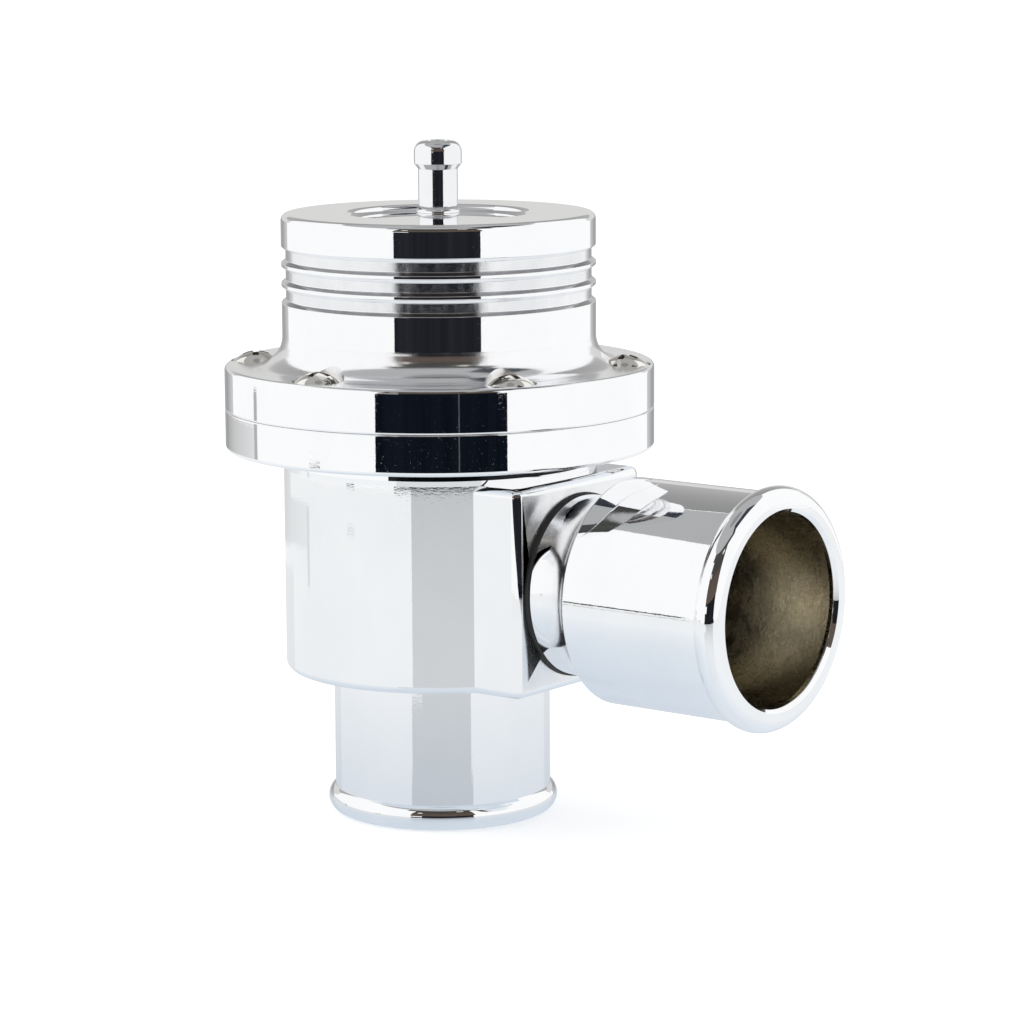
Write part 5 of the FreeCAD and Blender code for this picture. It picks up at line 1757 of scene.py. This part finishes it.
@dataclass
class Studio:
    """White floor and surroundings, soft lamps, and the cards that the metal reflects.

    Attributes:
        facing: Direction of the camera from the valve's axis in degrees.
        middle: Height of the middle of the cards' sphere.
        table: Radius of the glossy white table top that the metal reflects.
        mat: Rows of the mat before the table's trim, the middle of its angle from the camera
            and half its width, in degrees.
        cards: The cards.
    """

    facing: float = 37.647 - 90.0
    middle: float = 40.0
    table: float = 272.0
    mat: tuple[int, float, float] = (7, -65.8, 5.0)
    cards: tuple[Reflector, ...] = (
        Reflector("dark_room_low", -32.5, 36, -60, -6, plain(0.003, 0.0045, 0.008), mottle=1.0),
        Reflector("dark_room", -31, 31, -6, 9, plain(0.010, 0.011, 0.014), mottle=1.0),
        Reflector("pale_line", 10.5, 11.1, -60, -6, plain(0.09, 0.09, 0.10), distance=600.0),
        Reflector("brown_wall", -32, 33, 9, 45, (
            (0, (0.107, 0.080, 0.065)), (0.58, (0.085, 0.066, 0.055)),
            (0.68, (0.055, 0.054, 0.052))), mottle=0.3),
        Reflector("dark_shelf", -45, 50, 45, 53, plain(0.055, 0.054, 0.052), mottle=0.5),
        Reflector("ceiling", 0, 360, 53, 80, plain(0.43, 0.435, 0.44), distance=700.0),
        Reflector("dark_high", 40, 100, 53, 70, plain(0.035, 0.038, 0.05), distance=690.0,
                  mottle=0.6),
        Reflector("zenith", 0, 360, 80, 89.9, plain(0.28, 0.28, 0.285), distance=700.0),
        Reflector("rear_high", 146, 218, 16, 53, (
            (0, (0.46, 0.455, 0.45)), (1, (0.28, 0.28, 0.28)))),
        Reflector("rear_low", 140, 222, 4, 16, plain(0.69, 0.69, 0.68), distance=640.0),
        Reflector("rear_wall", 146, 218, -60, 4, (
            (0, (0.62, 0.62, 0.63)), (0.18, (0.34, 0.34, 0.35)), (0.4, (0.50, 0.50, 0.51)),
            (0.6, (0.50, 0.50, 0.51)), (0.8, (0.34, 0.34, 0.35)), (1, (0.62, 0.62, 0.63))),
            Run.ROUND, 700.0),
        Reflector("table_trim", -69, -62.5, -8.43, -7.42, plain(0.10, 0.10, 0.098),
                  distance=262.0),
        Reflector("low_screen", -150, -110, -8.1, -6.2, (
            (0, (0.42, 0.42, 0.42)), (0.35, (0.58, 0.58, 0.58)), (1, (0.76, 0.76, 0.76))),
            Run.ROUND, 264.0),
        Reflector("low_rod", -111.5, -108.5, -8.1, -4.8, plain(0.45, 0.45, 0.45), distance=262.0),
        Reflector("window_edge", -38, -20.0, 0.8, 6.8, plain(1, 1, 1), distance=600.0),
        Reflector("lamp_dash_left", -27, -22, 30, 34, plain(1.3, 1.25, 1.15), distance=600.0),
        Reflector("lamp_dash_right", 17, 25, 42, 45, plain(1.3, 1.2, 1.05), distance=600.0),
    )

    def build(self) -> None:
        """Make the floor, the surroundings, the lamps, the table and the cards."""
        self.surroundings()
        self.floor()
        self.lamps()
        self.table_top()
        for card in self.cards:
            card.build(self.facing, self.middle)

    def table_top(self) -> None:
        """The table as the metal sees it: white below, and a mirror of the room at a flat angle.

        Close to the valve its white is painted darker and a little blue, as a painted shadow of
        the valve. The share of the mirror is Fresnel's. A mat before the trim keeps the trim from
        showing twice.
        """
        skin = Skin("table_top")
        angles, count = full_turn(192), 40
        depth, at, half = self.mat
        round_from = apart((angles[:-1] + angles[1:]) / 2, np.radians(self.facing + at))
        under = np.outer(np.arange(count) < depth, np.abs(round_from) < np.radians(half))
        for points, normals in HalfOutline((self.table, -0.5)).to(0.0, -0.5, count).turned(angles):
            skin.add(points, normals)
            skin.kinds[-1] = under.ravel().astype(int)
        card = skin.build()
        share_along(card.data, Run.OUT, self.facing)
        nodes, shine = Nodes.glowing("glossy_white_table")
        share = nodes.add("ShaderNodeAttribute", attribute_name="share")
        # Painted shadow of the valve: the white is darker and bluer close to it.
        white_with_painted_shadow = nodes.shades(share, "Fac", (0.06, (0.66, 0.73, 0.81)), (0.34, (0.92, 0.95, 0.975)),
                             (0.6, (0.96, 0.985, 1.0)))
        nodes.join(white_with_painted_shadow, "Color", shine, "Color")
        mirror = nodes.add("ShaderNodeBsdfGlossy", roughness=0.03)
        mix = nodes.add("ShaderNodeMixShader")
        fresnel = nodes.add("ShaderNodeFresnel")
        fresnel.inputs["IOR"].default_value = 1.5
        nodes.join(fresnel, "Fac", mix, 0)
        nodes.join(shine, "Emission", mix, 1)
        nodes.join(mirror, "BSDF", mix, 2)
        nodes.join(mix, "Shader", nodes.output, "Surface")
        card.data.materials.append(nodes.material)
        mat, shine = Nodes.glowing("plain_white_mat")
        shine.inputs["Color"].default_value = (0.898, 0.912, 0.922, 1.0)
        card.data.materials.append(mat.material)
        only_reflected(card)

    def surroundings(self) -> None:
        """White for the camera and reflections, and a plain level for the light on the valve."""
        world = bpy.data.worlds.new("studio_white")
        bpy.context.scene.world = world
        world.use_nodes = True
        tree = world.node_tree
        back = tree.nodes["Background"]
        back.inputs["Color"].default_value = (1.0, 1.0, 1.0, 1.0)
        path = tree.nodes.new("ShaderNodeLightPath")
        seen = path.outputs["Is Camera Ray"]
        for other in ("Is Glossy Ray", "Is Transmission Ray"):
            either = tree.nodes.new("ShaderNodeMath")
            either.operation = "MAXIMUM"
            tree.links.new(seen, either.inputs[0])
            tree.links.new(path.outputs[other], either.inputs[1])
            seen = either.outputs[0]
        level = tree.nodes.new("ShaderNodeMapRange")
        level.inputs["To Min"].default_value = 0.72
        level.inputs["To Max"].default_value = 1.0
        tree.links.new(seen, level.inputs["Value"])
        tree.links.new(level.outputs[0], back.inputs["Strength"])

    def floor(self) -> None:
        """A pale floor to the horizon, which is white far off and keeps the shadow."""
        skin = Skin("studio_floor")
        outline = HalfOutline((4000.0, 0.0)).to(900.0, 0.0).to(120.0, 0.0).to(0.0, 0.0)
        skin.turn(outline, full_turn(96))
        floor = skin.build()
        nodes = Nodes("pale_floor")
        grain = nodes.noise((60.0, 60.0, 60.0), 3.0)
        tone = nodes.shades(grain, "Fac", (0.3, (0.90, 0.90, 0.905)), (0.7, (0.92, 0.92, 0.92)))
        nodes.join(tone, "Color", nodes.shader, "Base Color")
        nodes.set(roughness=0.9, specular_ior_level=0.0)
        path = nodes.add("ShaderNodeLightPath")
        shine = nodes.add("ShaderNodeEmission")
        shine.inputs["Color"].default_value = (1.0, 1.0, 1.0, 1.0)
        nodes.join(nodes.ranged(path, "Is Camera Ray", 0.0, 1.0, 0.0, 0.40), 0, shine, "Strength")
        both = nodes.add("ShaderNodeAddShader")
        nodes.join(nodes.shader, "BSDF", both, 0)
        nodes.join(shine, "Emission", both, 1)
        nodes.join(both, "Shader", nodes.output, "Surface")
        floor.data.materials.append(nodes.material)
        floor.visible_glossy = False

    def lamps(self) -> None:
        """Two wide soft lamps, high on either side of the camera."""
        distance = 1.2
        for name, turn, rise, power in (("lamp_left", -70.0, 48.0, 2.2),
                                        ("lamp_right", 60.0, 55.0, 1.6)):
            data = bpy.data.lights.new(name, "AREA")
            data.shape, data.size, data.energy = "DISK", 0.9, power
            lamp = bpy.data.objects.new(name, data)
            bpy.context.scene.collection.objects.link(lamp)
            around, up = np.radians([self.facing + turn, rise])
            spot = Vector(ring(np.cos(up), np.sin(up), around)) * distance
            aim = spot.to_track_quat("Z", "Y").to_matrix().to_4x4()
            lamp.matrix_world = Matrix.Translation(spot) @ aim
            lamp.visible_glossy = False


def main() -> None:
    """Build the studio, the viewpoint and the valve, piece by piece."""
    logging.basicConfig(level=logging.INFO, format="%(message)s")
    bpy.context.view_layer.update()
    Studio().build()
    Viewpoint().build()
    for part in (ValveBody(), Outlet(), Cap(), VacuumNipple(), FlangeScrews(), GuideParts(),
                 LiftingValve(), Diaphragm(), ReturnSpring()):
        part.build()
    scene = bpy.context.scene
    scene.view_settings.view_transform = "Standard"


if __name__ == "__main__":
    main()
